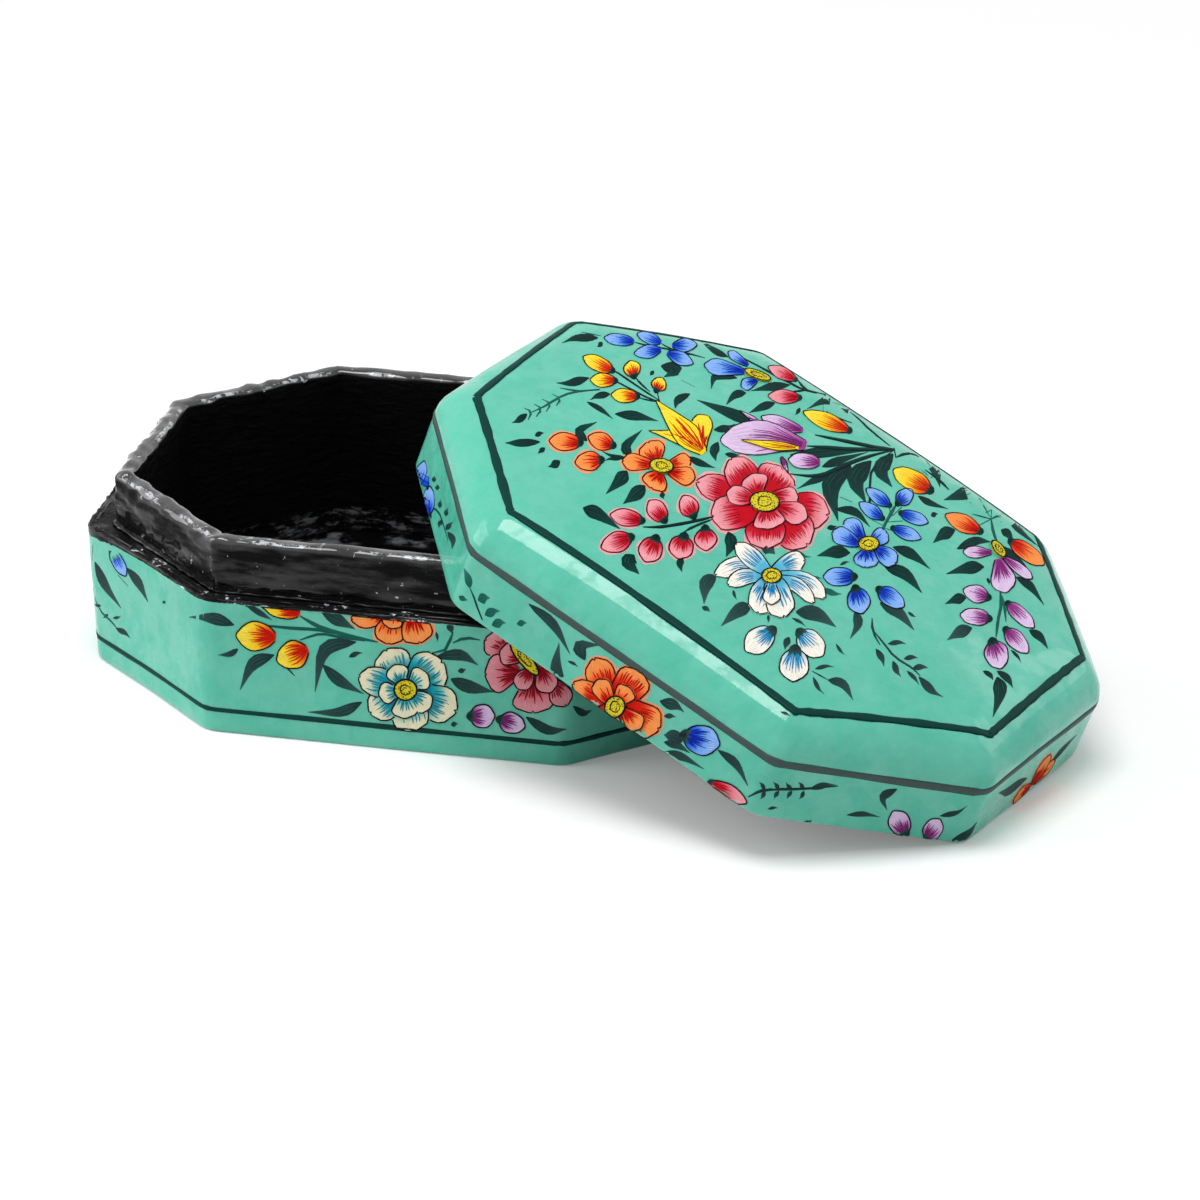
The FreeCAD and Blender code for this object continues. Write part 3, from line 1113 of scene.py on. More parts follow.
def stipple_tree():
    """Scatters small flattened dots of dark paint over flower centres."""
    group, tree, inputs = new_group("Stippled centres", "Centres", (
        ("Dot radius", "NodeSocketFloat", 0.00016), ("Spacing", "NodeSocketFloat", 0.00044),
        ("Seed", "NodeSocketInt", 4), ("Paint", "NodeSocketMaterial", None),
    ), "Dots")
    poisson = {"distribute_method": "POISSON"}
    spread = tree.add("GeometryNodeDistributePointsOnFaces", poisson, out=None)
    for name, value in (
        ("Mesh", inputs["Centres"]), ("Distance Min", inputs["Spacing"]),
        ("Density Max", MOST_DOTS), ("Seed", inputs["Seed"]),
    ):
        tree.feed(spread.inputs[name], value)
    dot = tree.add("GeometryNodeMeshIcoSphere", None, inputs["Dot radius"], 1)
    sizes = tree.add(
        "FunctionNodeRandomValue", {"data_type": "FLOAT"}, None, None, 0.6, 1.5,
        Seed=inputs["Seed"], out=1,
    )
    scale = tree.add("ShaderNodeCombineXYZ", None, sizes, sizes, sizes * 0.45)
    places, turns = (Value(tree, spread.outputs[name]) for name in ("Points", "Rotation"))
    dots = tree.add(
        "GeometryNodeInstanceOnPoints", None, places, True, dot, False, 0, turns, scale
    )
    end_group(tree, dots, inputs["Paint"])
    return group


def dark_dots():
    """The near-black brown of the stippled dots."""
    made, tree, shader = material("stipple_brown")
    place = tree.add("ShaderNodeTexCoord", out=3)
    tone = tree.noise(place, 700.0).clamp(0.3, 0.7)
    browns = (linear((34, 26, 12)), linear((78, 64, 18)))
    tree.feed(shader.inputs["Base Color"], tree.mix(tone, *browns))
    tree.feed(shader.inputs["Roughness"], 0.35 + 0.1 * tone)
    varnish(shader, 0.2, 0.3, 0.1)
    return made


def finish_painting(prefix, body, painters):
    """The pieces of a body's painting, from all its painters."""
    fills, strokes = {}, {}
    for painter in painters:
        for layer, made in painter.fills.items():
            fills.setdefault(layer, []).extend(made)
        for layer, made in painter.strokes.items():
            strokes.setdefault(layer, []).extend(made)
    paint = bpy.data.materials["brush_paint"]
    group = bpy.data.node_groups.get("Brush strokes") or brush_tree()
    pieces = []
    for layer, made in fills.items():
        piece = fill_piece(f"{prefix}_{layer}", made, paint)
        pieces.append(piece)
        if layer == "eyes":
            tops = bpy.data.objects.new("dotted", top_faces(made))
            dots = bpy.data.node_groups.get("Stippled centres") or stipple_tree()
            brown = {"Paint": bpy.data.materials["stipple_brown"]}
            pieces.append(grown(tops, dots, f"{prefix}_dots", brown))
    for layer, made in strokes.items():
        sides = {"hairs": 4, "outlines": 4}.get(layer, 6)
        thickness = {"hairs": 0.3, "outlines": 0.3}.get(layer, 0.12)
        pieces.append(stroke_piece(f"{prefix}_{layer}", made, group, sides, thickness, paint))
    for piece in pieces:
        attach(piece, body)


def top_faces(fills):
    """The upper faces alone of round coats, as the ground of the dots."""
    points, faces = [], []
    for spots, rows, columns, is_round, _ in fills:
        start = len(points)
        points += [p * MM for p, _ in spots]
        for face in grid_faces(rows, columns, is_round):
            corners = [Vector(points[start + v]) for v in face]
            along, across = corners[1] - corners[0], corners[3] - corners[0]
            if along.cross(across).dot(spots[0][1]) < 0:
                face = tuple(reversed(face))
            faces.append(tuple(start + v for v in face))
    mesh = bpy.data.meshes.new("dotted")
    mesh.from_pydata(points, [], faces)
    return mesh


# Drawings in the reference view

LINE = (16, 62, 56)
LINE_GREY = (72, 88, 86)
# The height over the rim or underside, and the width, of the line round the lid and the tray
LID_LINE, LID_LINE_WIDTH = 15.2, 1.9
TRAY_LINE, TRAY_LINE_WIDTH = 5.6, 1.3

# The corners of the line round the lid's top, in the lid's own lengths from its middle
LID_BORDER = (
    (-67.4, -22.7), (-38.8, -48.8), (38.1, -49.4), (69.3, -18.5),
    (68.4, 23.1), (38.0, 52.2), (-38.5, 52.0), (-71.2, 21.0),
)


def border_points(corners):
    """Points along a closed line through corners."""
    points = []
    for first, second in zip(corners, corners[1:] + corners[:1]):
        points += [mixed(first, second, smooth(0, 1, k / 24)) for k in range(24)]
    return points


def loop_line(sizes, matrix, flat, height, width, paint, painter):
    """A border line round a body, square to its skin: at a height, or on the crown."""
    spots = []
    for x, y in flat:
        if height is None:
            start, way = Vector((x, y, SIGHT_START)), Vector((0, 0, -1))
        else:
            way = -unit_out(sizes, x, y)
            start = Vector((x, y, height)) - way * LINE_START
        sight = (matrix.to_3x3() @ way).normalized()
        spot, normal = painter.surface.spot(matrix @ start, sight)
        spots.append((spot + normal * LINE_LIFT, normal))
    spots.append(spots[0])
    widths = [width * painter.chance.uniform(0.85, 1.15) for _ in spots]
    painter.strokes.setdefault("border", []).append((spots, widths, paint))


def unit_out(sizes, x, y):
    """The way out of the octagon nearest to a point of its outline."""
    corners, outward = octagon(sizes, 0)
    reach = [(o[0] * x + o[1] * y) - (o * c).sum() for o, c in zip(outward, corners)]
    best = outward[int(np.argmax(reach))]
    return Vector((best[0], best[1], 0))


def paint_lid_back(p):
    """The blue, yellow and pink sprays at the far side of the lid's top."""
    dark_stems = [
        (3, 634, 342, 645, 345, 667, 349, 690, 354, 705, 358), (2, 661, 343, 667, 347, 680, 352),
        (2, 650, 348, 660, 349), (2, 672, 354, 690, 355), (3, 611, 370, 618, 373, 640, 388, 660, 401),
        (3, 615, 381, 623, 385, 650, 399, 660, 401), (2.5, 636, 378, 641, 384, 650, 392),
        (2.5, 637, 397, 647, 400, 660, 402), (3, 657, 391, 659, 400),
        (4, 735, 354, 760, 367, 790, 383, 805, 390, 835, 397, 860, 405),
        (4, 796, 378, 805, 389, 812, 392), (3, 790, 392, 808, 390),
    ]
    p.stems(dark_stems)
    teal_stems = [
        (2.5, 600, 389, 580, 391, 560, 388), (2.5, 600, 390, 575, 392, 560, 397, 545, 406, 530, 413),
        (2, 552, 394, 560, 399, 556, 406), (2, 542, 399, 550, 404, 546, 412),
        (2, 534, 404, 541, 409, 536, 417), (2, 524, 408, 531, 412, 528, 420), (2, 581, 332, 601, 336),
        (1.5, 681, 380, 695, 387),
    ]
    p.stems(teal_stems, "teal")
    dark_leaves = [
        (8, 598, 338, 562, 343), (5, 602, 342, 597, 347), (8, 589, 378, 556, 383),
        (7, 610, 394, 590, 400), (7, 527, 414, 512, 423), (5, 587, 402, 600, 409, 613, 419),
        (9, 615, 414, 636, 416, 658, 421), (9, 587, 441, 579, 431, 597, 422),
        (10, 631, 456, 626, 446, 642, 430), (13, 661, 366, 676, 370, 664, 377),
        (8, 690, 394, 678, 400, 675, 409), (8, 540, 442, 520, 443, 505, 443), (5, 535, 436, 544, 433),
        (5, 545, 448, 538, 454), (8, 560, 461, 548, 467), (6, 728, 357, 715, 351, 697, 338),
        (8, 737, 378, 716, 376, 711, 389), (8, 746, 393, 735, 395, 726, 405),
        (8, 790, 385, 770, 387, 751, 391), (8, 775, 403, 762, 407, 749, 413), (4, 800, 408, 795, 415),
        (9, 860, 412, 830, 400, 807, 409), (6, 860, 413, 841, 408), (11, 757, 424, 730, 413, 697, 400),
        (7, 714, 430, 735, 424), (4, 654, 371, 650, 376), (4, 630, 459, 600, 450),
        (4, 622, 459, 604, 461),
    ]
    p.leaves(dark_leaves)
    blue_buds = [
        (12, 634, 342, 604, 338), (11, 661, 343, 637, 334), (13, 672, 346, 697, 345),
        (13, 661, 350, 634, 354), (13, 667, 353, 693, 364),
    ]
    p.buds("blue", blue_buds, cap=None)
    yellow_buds = [
        (15, 613, 371, 583, 357), (17, 634, 377, 630, 361), (14, 616, 381, 590, 380),
        (15, 656, 391, 662, 378), (14, 638, 397, 611, 395),
    ]
    p.buds("yellow", yellow_buds)
    orange_buds = [(18, 581, 443, 549, 441), (17, 614, 446, 588, 437), (19, 602, 460, 575, 463)]
    p.buds("orange", orange_buds)
    blue_petals = [(16, 745, 372, 704, 365), (9, 748, 366, 728, 352), (12, 757, 380, 741, 387)]
    p.flower("blue", blue_petals, notch=0)
    blue_eye = (757, 376, 28, 8, 20)
    p.eye(*blue_eye)
    pink_buds = [(12, 796, 380, 768, 367), (14, 800, 398, 768, 396)]
    p.buds("pink", pink_buds, halo=False)
    lone_bud = [(16, 850, 431, 803, 412)]
    p.buds("yellow", lone_bud)
    wide_flower = [
        ("lilac", 5, "spear", 762, 425, 740, 411),
        ("lilac", 14, "bud", 803, 431, 780, 424, 761, 417),
        ("lilac", 34, "petal", 806, 446, 765, 438, 720, 441),
        ("lily", 9, "spear", 798, 449, 770, 446, 741, 441),
        ("lilac", 16, "bud", 820, 463, 788, 460),
        ("lilac", 5, "spear", 781, 457, 788, 474),
    ]
    p.blossom(wide_flower, inner="lily")
    yellow_lily = [
        ("lily", 13, "spear", 704, 453, 678, 438, 649, 431),
        ("lily", 22, "trumpet", 704, 453, 701, 434, 703, 415),
        ("lily", 25, "spear", 704, 453, 681, 429, 656, 401),
    ]
    lily_streaks = [
        (702, 449, 692, 437, 680, 427), (700, 448, 686, 440, 672, 434),
        (703, 448, 700, 434, 698, 424), (704, 447, 703, 436, 703, 426),
        (700, 446, 690, 434, 676, 420),
    ]
    p.blossom(yellow_lily, streaks=lily_streaks)


def paint_lid_stems(p):
    """The fan of stems and large dark leaves that all sprays grow from."""
    dark_stems = [
        (6, 894, 449, 880, 448, 845, 441, 815, 435), (6, 894, 450, 850, 449, 807, 446),
        (5, 790, 474, 810, 476, 825, 474, 845, 465, 870, 456, 894, 450),
        (4, 894, 448, 915, 436, 935, 430), (4, 890, 446, 870, 430, 860, 420, 850, 412),
        (4, 932, 455, 945, 465, 955, 477), (2.5, 840, 497, 852, 502),
        (4, 716, 516, 700, 520, 680, 524, 660, 527, 643, 527), (3, 716, 518, 695, 526, 684, 532),
        (3, 715, 516, 740, 505, 760, 500), (2.5, 866, 512, 870, 500, 872, 470, 894, 450),
    ]
    p.stems(dark_stems)
    teal_stems = [
        (3, 897, 503, 890, 515, 882, 530, 878, 540), (2.5, 889, 504, 890, 512),
        (2.5, 902, 507, 892, 516), (2.5, 903, 521, 887, 522), (2.5, 872, 520, 884, 526),
        (2.5, 893, 531, 884, 528), (3, 991, 519, 972, 514), (3, 991, 519, 978, 526),
        (3, 991, 519, 992, 501), (3, 991, 519, 1000, 515, 1007, 511), (2.5, 1000, 515, 1007, 505),
        (3.5, 991, 519, 994, 535, 998, 543), (2, 976, 491, 982, 503, 990, 517),
        (3, 1000, 590, 1001, 605, 998, 620, 996, 637), (2.5, 1000, 592, 1004, 605, 1006, 622),
    ]
    p.stems(teal_stems, "teal")
    dark_leaves = [
        (7, 830, 476, 815, 480, 797, 489), (19, 851, 466, 831, 486, 838, 521),
        (18, 871, 461, 856, 480, 866, 503), (15, 893, 454, 881, 470, 892, 487),
        (12, 920, 450, 934, 466, 940, 487), (8, 835, 509, 855, 512, 870, 527),
        (6, 918, 496, 930, 503, 948, 509), (5, 931, 516, 938, 514), (9, 718, 442, 714, 452, 716, 461),
        (13, 627, 471, 620, 480, 606, 494), (14, 645, 486, 636, 494, 623, 504),
        (7, 688, 457, 700, 463, 715, 468), (5, 662, 492, 664, 499), (5, 725, 454, 740, 455),
        (10, 790, 455, 830, 452, 872, 450), (8, 822, 467, 838, 461, 868, 452),
        (13, 583, 508, 598, 514, 620, 529), (12, 728, 532, 731, 544, 726, 557),
        (15, 634, 555, 629, 563, 639, 574), (7, 682, 556, 680, 564, 682, 572),
        (12, 850, 553, 834, 552, 817, 556), (5, 827, 528, 837, 526), (10, 893, 547, 911, 554, 930, 569),
        (12, 885, 567, 905, 574, 922, 593), (13, 976, 489, 962, 494, 944, 500),
        (12, 955, 530, 944, 534, 933, 543), (6, 1008, 513, 1017, 528, 1040, 548),
        (8, 1001, 530, 1008, 534, 1013, 543), (9, 957, 549, 975, 541, 991, 542),
        (8, 1000, 546, 1015, 558, 1031, 573), (12, 984, 567, 968, 568, 946, 574),
        (8, 1016, 577, 1030, 586, 1044, 605), (8, 1029, 630, 1040, 637, 1048, 649),
        (3, 1011, 650, 1021, 663), (10, 966, 598, 957, 599, 945, 604),
        (5, 983, 671, 990, 675, 993, 680), (13, 997, 677, 1000, 692, 993, 717),
        (7, 997, 671, 1007, 678, 1013, 688), (3, 987, 578, 989, 585),
    ]
    p.leaves(dark_leaves)
    grey_leaves = [
        (14, 716, 576, 706, 584, 704, 604), (14, 751, 606, 738, 611, 721, 626),
        (15, 796, 612, 816, 614, 836, 627), (14, 761, 548, 768, 548, 775, 554), (3, 733, 590, 737, 600),
        (3, 768, 615, 768, 623), (3, 792, 618, 806, 627), (5, 702, 607, 710, 612),
        (3, 840, 565, 850, 562), (12, 880, 603, 898, 612, 914, 630), (3, 908, 612, 916, 617),
        (9, 855, 611, 858, 624, 850, 639), (7, 789, 637, 785, 650), (4, 815, 669, 834, 667),
        (9, 828, 680, 843, 684, 853, 700), (4, 813, 677, 824, 694), (3, 836, 644, 845, 655),
        (12, 972, 628, 960, 632, 947, 640),
    ]
    p.leaves(grey_leaves, "grey")
    teal_leaves = [(5, 793, 550, 811, 557), (6, 823, 589, 842, 594), (3, 810, 578, 822, 579)]
    p.leaves(teal_leaves, "teal")
    tendril_stems = [
        (2, 812, 671, 828, 680), (2.5, 872, 618, 873, 632, 880, 645),
        (2.5, 873, 630, 885, 645, 895, 657, 912, 668, 920, 676),
    ]
    p.stems(tendril_stems, "grey")
    tendril_leaves = [
        (5, 888, 644, 906, 644), (6, 876, 649, 884, 667), (5, 904, 659, 918, 658),
        (6, 893, 661, 901, 677), (6, 913, 668, 928, 668), (4, 907, 671, 919, 685),
        (8, 919, 677, 943, 697),
    ]
    p.leaves(tendril_leaves, "grey")


def paint_lid_flowers(p):
    """The large flowers and the buds round them."""
    orange_petals = [
        (27, 657, 463, 648, 442), (17, 654, 465, 622, 461), (17, 668, 465, 691, 461),
        (18, 668, 472, 695, 479), (27, 660, 473, 651, 489),
    ]
    orange_eye = (661, 467, 24, 14, 8)
    p.flower("orange", orange_petals, eye=orange_eye)
    pink_petals = [
        (26, 733, 492, 696, 482), (32, 747, 487, 730, 459), (40, 766, 487, 783, 468),
        (36, 795, 508, 829, 516), (38, 790, 520, 808, 546), (40, 765, 524, 766, 549),
        (36, 750, 512, 711, 517),
    ]
    pink_inner = [
        (26, 758, 496, 752, 475), (20, 755, 501, 726, 494), (20, 771, 496, 798, 499),
        (22, 774, 506, 807, 519), (32, 766, 508, 770, 530),
    ]
    pink_eye = (764, 503, 30, 20, 5)
    p.flower("pink", pink_petals, pink_inner, eye=pink_eye)
    blue_petals = [
        (19, 864, 540, 845, 520), (18, 860, 545, 832, 532), (25, 867, 549, 865, 568),
        (19, 875, 548, 896, 564), (18, 871, 543, 887, 533),
    ]
    blue_eye = (868, 545, 21, 14, 0)
    p.flower("blue", blue_petals, eye=blue_eye)
    white_petals = [
        (18, 765, 571, 742, 565, 714, 575), (16, 765, 575, 745, 577, 727, 585),
        (19, 768, 570, 735, 544), (20, 774, 572, 790, 563, 805, 561),
        (17, 781, 576, 805, 581, 825, 599), (14, 779, 580, 797, 586, 814, 604),
        (29, 769, 580, 757, 614), (29, 774, 580, 784, 618),
    ]
    white_inner = [(17, 771, 583, 771, 606)]
    white_eye = (771, 577, 20, 15, 0)
    p.flower("white", white_petals, white_inner, notch=0.05, eye=white_eye)
    pink_buds = [
        (17, 643, 521, 610, 515), (19, 665, 521, 649, 501), (19, 694, 517, 683, 496),
        (20, 632, 537, 601, 548), (24, 656, 538, 645, 562), (25, 684, 536, 678, 559),
        (22, 705, 528, 706, 551),
    ]
    p.buds("pink", pink_buds)
    white_buds = [(26, 773, 630, 745, 651), (25, 799, 632, 823, 656), (30, 795, 649, 793, 682)]
    p.buds("white", white_buds, "grey")
    blue_buds = [
        (19, 855, 577, 823, 577), (23, 855, 588, 862, 614), (18, 878, 589, 904, 607),
        (13, 890, 506, 866, 489), (16, 897, 504, 912, 490), (13, 883, 519, 859, 503),
        (13, 900, 513, 928, 523), (13, 892, 528, 921, 539),
    ]
    p.buds("blue", blue_buds)
    yellow_buds = [(21, 931, 491, 893, 470)]
    p.buds("yellow", yellow_buds)
    orange_buds = [(17, 981, 532, 945, 515), (17, 1010, 541, 1044, 565)]
    p.buds("orange", orange_buds, halo=False)
    lilac_petals = [(12, 992, 553, 963, 552), (24, 998, 559, 1006, 593), (11, 1003, 557, 1032, 579)]
    p.flower("lilac", lilac_petals, notch=0)
    lilac_eye = (998, 550, 9, 20, -40)
    p.eye(*lilac_eye)
    lilac_buds = [
        (17, 989, 598, 963, 590), (17, 990, 619, 960, 615), (15, 1007, 603, 1034, 628),
        (17, 1005, 629, 1028, 653), (24, 992, 641, 1001, 669),
    ]
    p.buds("lilac", lilac_buds)


def paint_lid_skirt(p):
    """The flowers on the lid's side that faces left, and the sprays on its front."""
    blue_buds = [(11, 417, 487, 425, 461), (12, 428, 516, 430, 486)]
    p.buds("blue", blue_buds)
    grey_leaves = [
        (4, 434, 482, 435, 476), (4, 437, 490, 437, 484), (4, 440, 508, 441, 500),
        (4, 446, 516, 448, 508), (4, 442, 520, 439, 528), (5, 446, 530, 453, 522),
        (6, 448, 532, 453, 540, 452, 549), (9, 529, 604, 553, 624, 570, 654),
        (12, 562, 688, 556, 668, 559, 643), (12, 585, 660, 580, 646, 600, 645), (3, 568, 661, 578, 667),
    ]
    p.leaves(grey_leaves, "grey")
    grey_stems = [
        (2, 430, 507, 438, 511, 442, 520, 448, 540), (2, 470, 588, 475, 600, 480, 615, 487, 628),
    ]
    p.stems(grey_stems, "grey")
    teal_leaves = [
        (7, 470, 588, 468, 578, 464, 568), (5, 459, 596, 468, 600), (10, 478, 600, 490, 598),
        (9, 485, 615, 500, 611), (9, 492, 625, 506, 623), (6, 517, 624, 527, 623),
    ]
    p.leaves(teal_leaves, "teal")
    orange_petals = [
        (28, 606, 694, 594, 658), (36, 622, 694, 641, 671), (20, 604, 700, 573, 683),
        (34, 630, 709, 660, 729), (26, 606, 706, 600, 727),
    ]
    orange_inner = [(20, 612, 704, 598, 679), (22, 618, 702, 631, 687), (20, 624, 709, 642, 728)]
    orange_eye = (616, 706, 20, 22, 20)
    p.flower("orange", orange_petals, orange_inner, eye=orange_eye)
    front_leaves = [
        (11, 660, 701, 684, 712), (5, 664, 716, 676, 717), (8, 664, 742, 677, 745, 690, 753),
        (8, 660, 753, 680, 756, 704, 769), (4, 690, 774, 699, 777), (8, 718, 750, 736, 764, 748, 786),
        (14, 682, 742, 672, 736, 664, 735), (3, 781, 712, 790, 716),
    ]
    p.leaves(front_leaves, "grey")
    front_bud = [(30, 684, 735, 720, 745)]
    p.buds("blue", front_bud, "grey")
    pink_buds = [(16, 710, 782, 747, 803)]
    p.buds("pink", pink_buds, "grey", halo=False)
    sprig_stem = [(3, 748, 797, 765, 790, 800, 789, 838, 786)]
    p.stems(sprig_stem, "grey")
    sprig_leaves = [(4, 765 + d, 790, 759 + d, 782) for d in (0, 14, 27, 39)]
    sprig_leaves += [(4, 765 + d, 791, 760 + d, 799) for d in (0, 14, 27, 39)]
    p.leaves(sprig_leaves, "grey")
    right_leaves = [
        (6, 810, 789, 836, 785), (8, 897, 789, 883, 797, 887, 810), (5, 847, 815, 864, 814, 880, 817),
        (5, 940, 816, 967, 806), (8, 948, 845, 977, 822), (3, 768, 809, 778, 808),
        (4, 803, 823, 812, 820),
    ]
    p.leaves(right_leaves, "grey")
    lilac_buds = [(22, 906, 834, 893, 811), (19, 926, 839, 940, 819)]
    p.buds("lilac", lilac_buds, "grey")


def paint_tray_sides(p):
    """The flowers and sprays on the tray's sides."""
    blue_buds = [(12, 111, 549, 126, 576)]
    p.buds("blue", blue_buds, "grey")
    grey_leaves = [
        (8, 95, 562, 105, 585, 121, 608), (8, 127, 568, 138, 582, 148, 602), (5, 116, 628, 130, 638),
        (3, 101, 606, 94, 604), (3, 108, 614, 103, 618), (3, 113, 618, 121, 616),
        (3, 163, 601, 165, 604),
    ]
    p.leaves(grey_leaves, "grey")
    teal_stems = [
        (2, 128, 586, 118, 575), (2.5, 91, 588, 100, 610, 112, 622, 118, 630), (2.5, 92, 560, 93, 545),
        (4, 300, 616, 320, 627, 350, 636, 378, 642), (3.5, 262, 625, 290, 628, 320, 630, 350, 636),
        (3, 300, 640, 320, 634, 340, 637, 365, 641), (3, 432, 653, 445, 650, 450, 640, 453, 632),
        (3, 453, 643, 465, 638, 480, 640),
    ]
    p.stems(teal_stems, "teal")
    front_leaves = [
        (11, 234, 625, 212, 618, 189, 617), (6, 238, 649, 230, 654, 218, 655),
        (12, 274, 655, 253, 664, 240, 690), (6, 246, 604, 260, 613, 272, 620),
        (12, 322, 611, 338, 620, 355, 629), (13, 356, 642, 325, 650, 315, 692),
        (11, 323, 665, 340, 681, 364, 694), (10, 362, 702, 340, 712, 308, 712), (5, 349, 657, 363, 653),
        (3, 436, 632, 437, 642), (7, 448, 623, 452, 634), (6, 458, 620, 464, 626),
        (11, 436, 657, 460, 655, 478, 665), (5, 458, 671, 466, 669), (13, 451, 679, 470, 687, 495, 692),
        (5, 451, 725, 458, 724), (10, 526, 717, 548, 730, 567, 729), (7, 573, 706, 583, 713, 592, 710),
    ]
    p.leaves(front_leaves, "grey")
    yellow_buds = [(29, 276, 637, 236, 635), (20, 300, 614, 262, 602), (28, 308, 649, 277, 661)]
    p.buds("yellow", yellow_buds, None)
    bud_stem = [(1.5, 284, 665, 289, 670, 295, 676)]
    p.stems(bud_stem)
    orange_petals = [(22, 398, 612, 351, 619), (31, 392, 614, 389, 644), (32, 412, 612, 420, 643)]
    orange_inner = [(20, 396, 608, 391, 628)]
    p.flower("orange", orange_petals, orange_inner, notch=0.05)
    cream_petals = [
        (36, 399, 678, 386, 649), (42, 417, 679, 443, 661), (36, 421, 697, 457, 711),
        (38, 408, 701, 413, 731), (32, 395, 697, 370, 713), (29, 393, 687, 359, 676),
    ]
    cream_inner = [
        (22, 402, 684, 395, 664), (24, 410, 685, 428, 673), (22, 411, 693, 431, 707),
        (25, 405, 694, 405, 718), (21, 400, 690, 379, 694),
    ]
    cream_eye = (406, 689, 23, 21, 0)
    p.flower("cream", cream_petals, cream_inner, eye=cream_eye)
    rose_petals = [
        (25, 512, 652, 485, 639), (37, 520, 672, 485, 674), (40, 533, 680, 533, 713),
        (22, 552, 678, 566, 706),
    ]
    rose_inner = [(22, 524, 658, 500, 651), (20, 532, 668, 518, 688), (22, 540, 666, 551, 692)]
    p.flower("rose", rose_petals, rose_inner, notch=0.07)
    rose_eye = (525, 658, 12, 42, -40)
    p.eye(*rose_eye)
    lilac_buds = [(24, 470, 716, 495, 716), (21, 499, 719, 525, 727)]
    p.buds("lilac", lilac_buds, "grey")


# Drawings for the hidden sides

def spray(p, x, y, turn, flip, paints):
    """A short branch with three buds and four leaves, drawn from its root."""
    c, s = math.cos(math.radians(turn)), math.sin(math.radians(turn))

    def put(*numbers):
        made = []
        for u, v in pairs(numbers):
            v *= flip
            made += [x + u * c - v * s, y + u * s + v * c]
        return made

    p.stems([
        (3.5, *put(0, 0, 25, -6, 52, -4, 80, 4)), (2.5, *put(26, -6, 40, -17)),
        (2.5, *put(44, -4, 56, 10)),
    ], "teal")
    p.leaves([
        (11, *put(12, -3, 20, -14, 38, -26)), (10, *put(20, -4, 34, 10, 42, 26)),
        (9, *put(60, -3, 72, -14, 88, -22)), (9, *put(66, 2, 74, 14, 90, 22)),
    ])
    p.buds(paints[0], [(18, *put(40, -17, 62, -30)), (18, *put(80, 4, 106, 8))], halo=False)
    p.buds(paints[1], [(17, *put(56, 10, 72, 28))], halo=False)


def rosette(p, x, y, size, paint, count=6, inner=5, turn=0.0):
    """A double flower seen from above."""

    def petals(number, width, root, tip, shift):
        rows = []
        for k in range(number):
            a = 2 * math.pi * (k + shift) / number + turn
            c, s = math.cos(a), math.sin(a)
            foot = (x + c * size * root, y + s * size * root)
            rows.append((size * width, *foot, x + c * size * tip, y + s * size * tip))
        return rows

    eye = (x, y, size * 0.5, size * 0.46, 0)
    p.flower(paint, petals(count, 0.98, 0.22, 1, 0), petals(inner, 0.58, 0.1, 0.6, 0.5), 0.06, eye)


def side_band(p, half, order):
    """One long side of flowers: a rosette in the middle, sprays and small rosettes beside it."""
    rosette(p, 0, 0, 34, order[0])
    spray(p, 40, 0, 4, 1, (order[1], order[2]))
    spray(p, -40, 0, 176, -1, (order[2], order[1]))
    rosette(p, half - 22, 0, 24, order[2], 5, 4, 0.4)
    rosette(p, 22 - half, 0, 24, order[1], 5, 4, 0.2)


def short_band(p, order):
    """A short side: one flower between four leaves and two buds."""
    rosette(p, 0, 0, 28, order[0], 5, 4, 0.3)
    p.leaves([
        (10, -30, -6, -44, -16, -60, -18), (10, 30, 6, 44, 14, 60, 17),
        (8, -30, 8, -42, 20, -52, 28), (8, 30, -8, 42, -20, 52, -28),
    ])
    p.buds(order[1], [(17, -52, 4, -76, 7), (17, 52, -2, 76, -5)], halo=False)


# The add-on

def measure(name, text, millimetres):
    """A length property, kept in the scene's own metres."""
    return bpy.props.FloatProperty(
        name=name, description=text, default=millimetres * MM, unit="LENGTH", precision=4
    )


class BoxSizes(bpy.types.PropertyGroup):
    """Sizes of the box."""

    length: measure("Length", "Length over the octagon", 150.0)
    width: measure("Width", "Width over the octagon", 112.0)
    chamfer_length: measure("Chamfer along", "Chamfer along the length", 34.3)
    chamfer_width: measure("Chamfer across", "Chamfer across the width", 32.0)
    corner_radius: measure("Corner radius", "Rounding of the upright corners", 7.0)
    tray_height: measure("Tray height", "Underside to ledge", 32.4)
    ledge: measure("Ledge", "Width of the ledge outside the collar", 4.1)
    floor: measure("Floor", "Thickness of the tray's floor", 4.5)
    collar_rise: measure("Collar rise", "Collar above the ledge", 12.5)
    collar_thickness: measure("Collar thickness", "Thickness of the collar", 4.5)
    lid_height: measure("Lid height", "Rim to crown", 28.2)
    overhang: measure("Overhang", "Lid beyond the tray", 0.7)
    dome: measure("Dome", "Fall of the crown at the middle of each side", 3.6)


def hue(name, text, value):
    """A colour property, from screen values up to 255."""
    return bpy.props.FloatVectorProperty(
        name=name, description=text, default=linear(value)[:3], subtype="COLOR", min=0, max=1
    )


class BoxColours(bpy.types.PropertyGroup):
    """Ground colours of the box."""

    mint: hue("Mint", "Main ground colour", (88, 192, 167))
    mint_shade: hue("Mint shade", "Darker clouds in the ground", (78, 182, 157))
    mint_light: hue("Mint light", "Paler specks in the ground", (124, 209, 186))
    black: hue("Black", "Lacquer inside", (4, 4, 5))
    black_worn: hue("Worn black", "Black lacquer where it is rubbed", (42, 44, 48))
    # Painted highlights: pale glints, highlight lines and reflections laid into the black lacquer's
    # colour
    painted_highlight: hue("Flecks", "Pale flecks on rough black lacquer", (214, 216, 222))


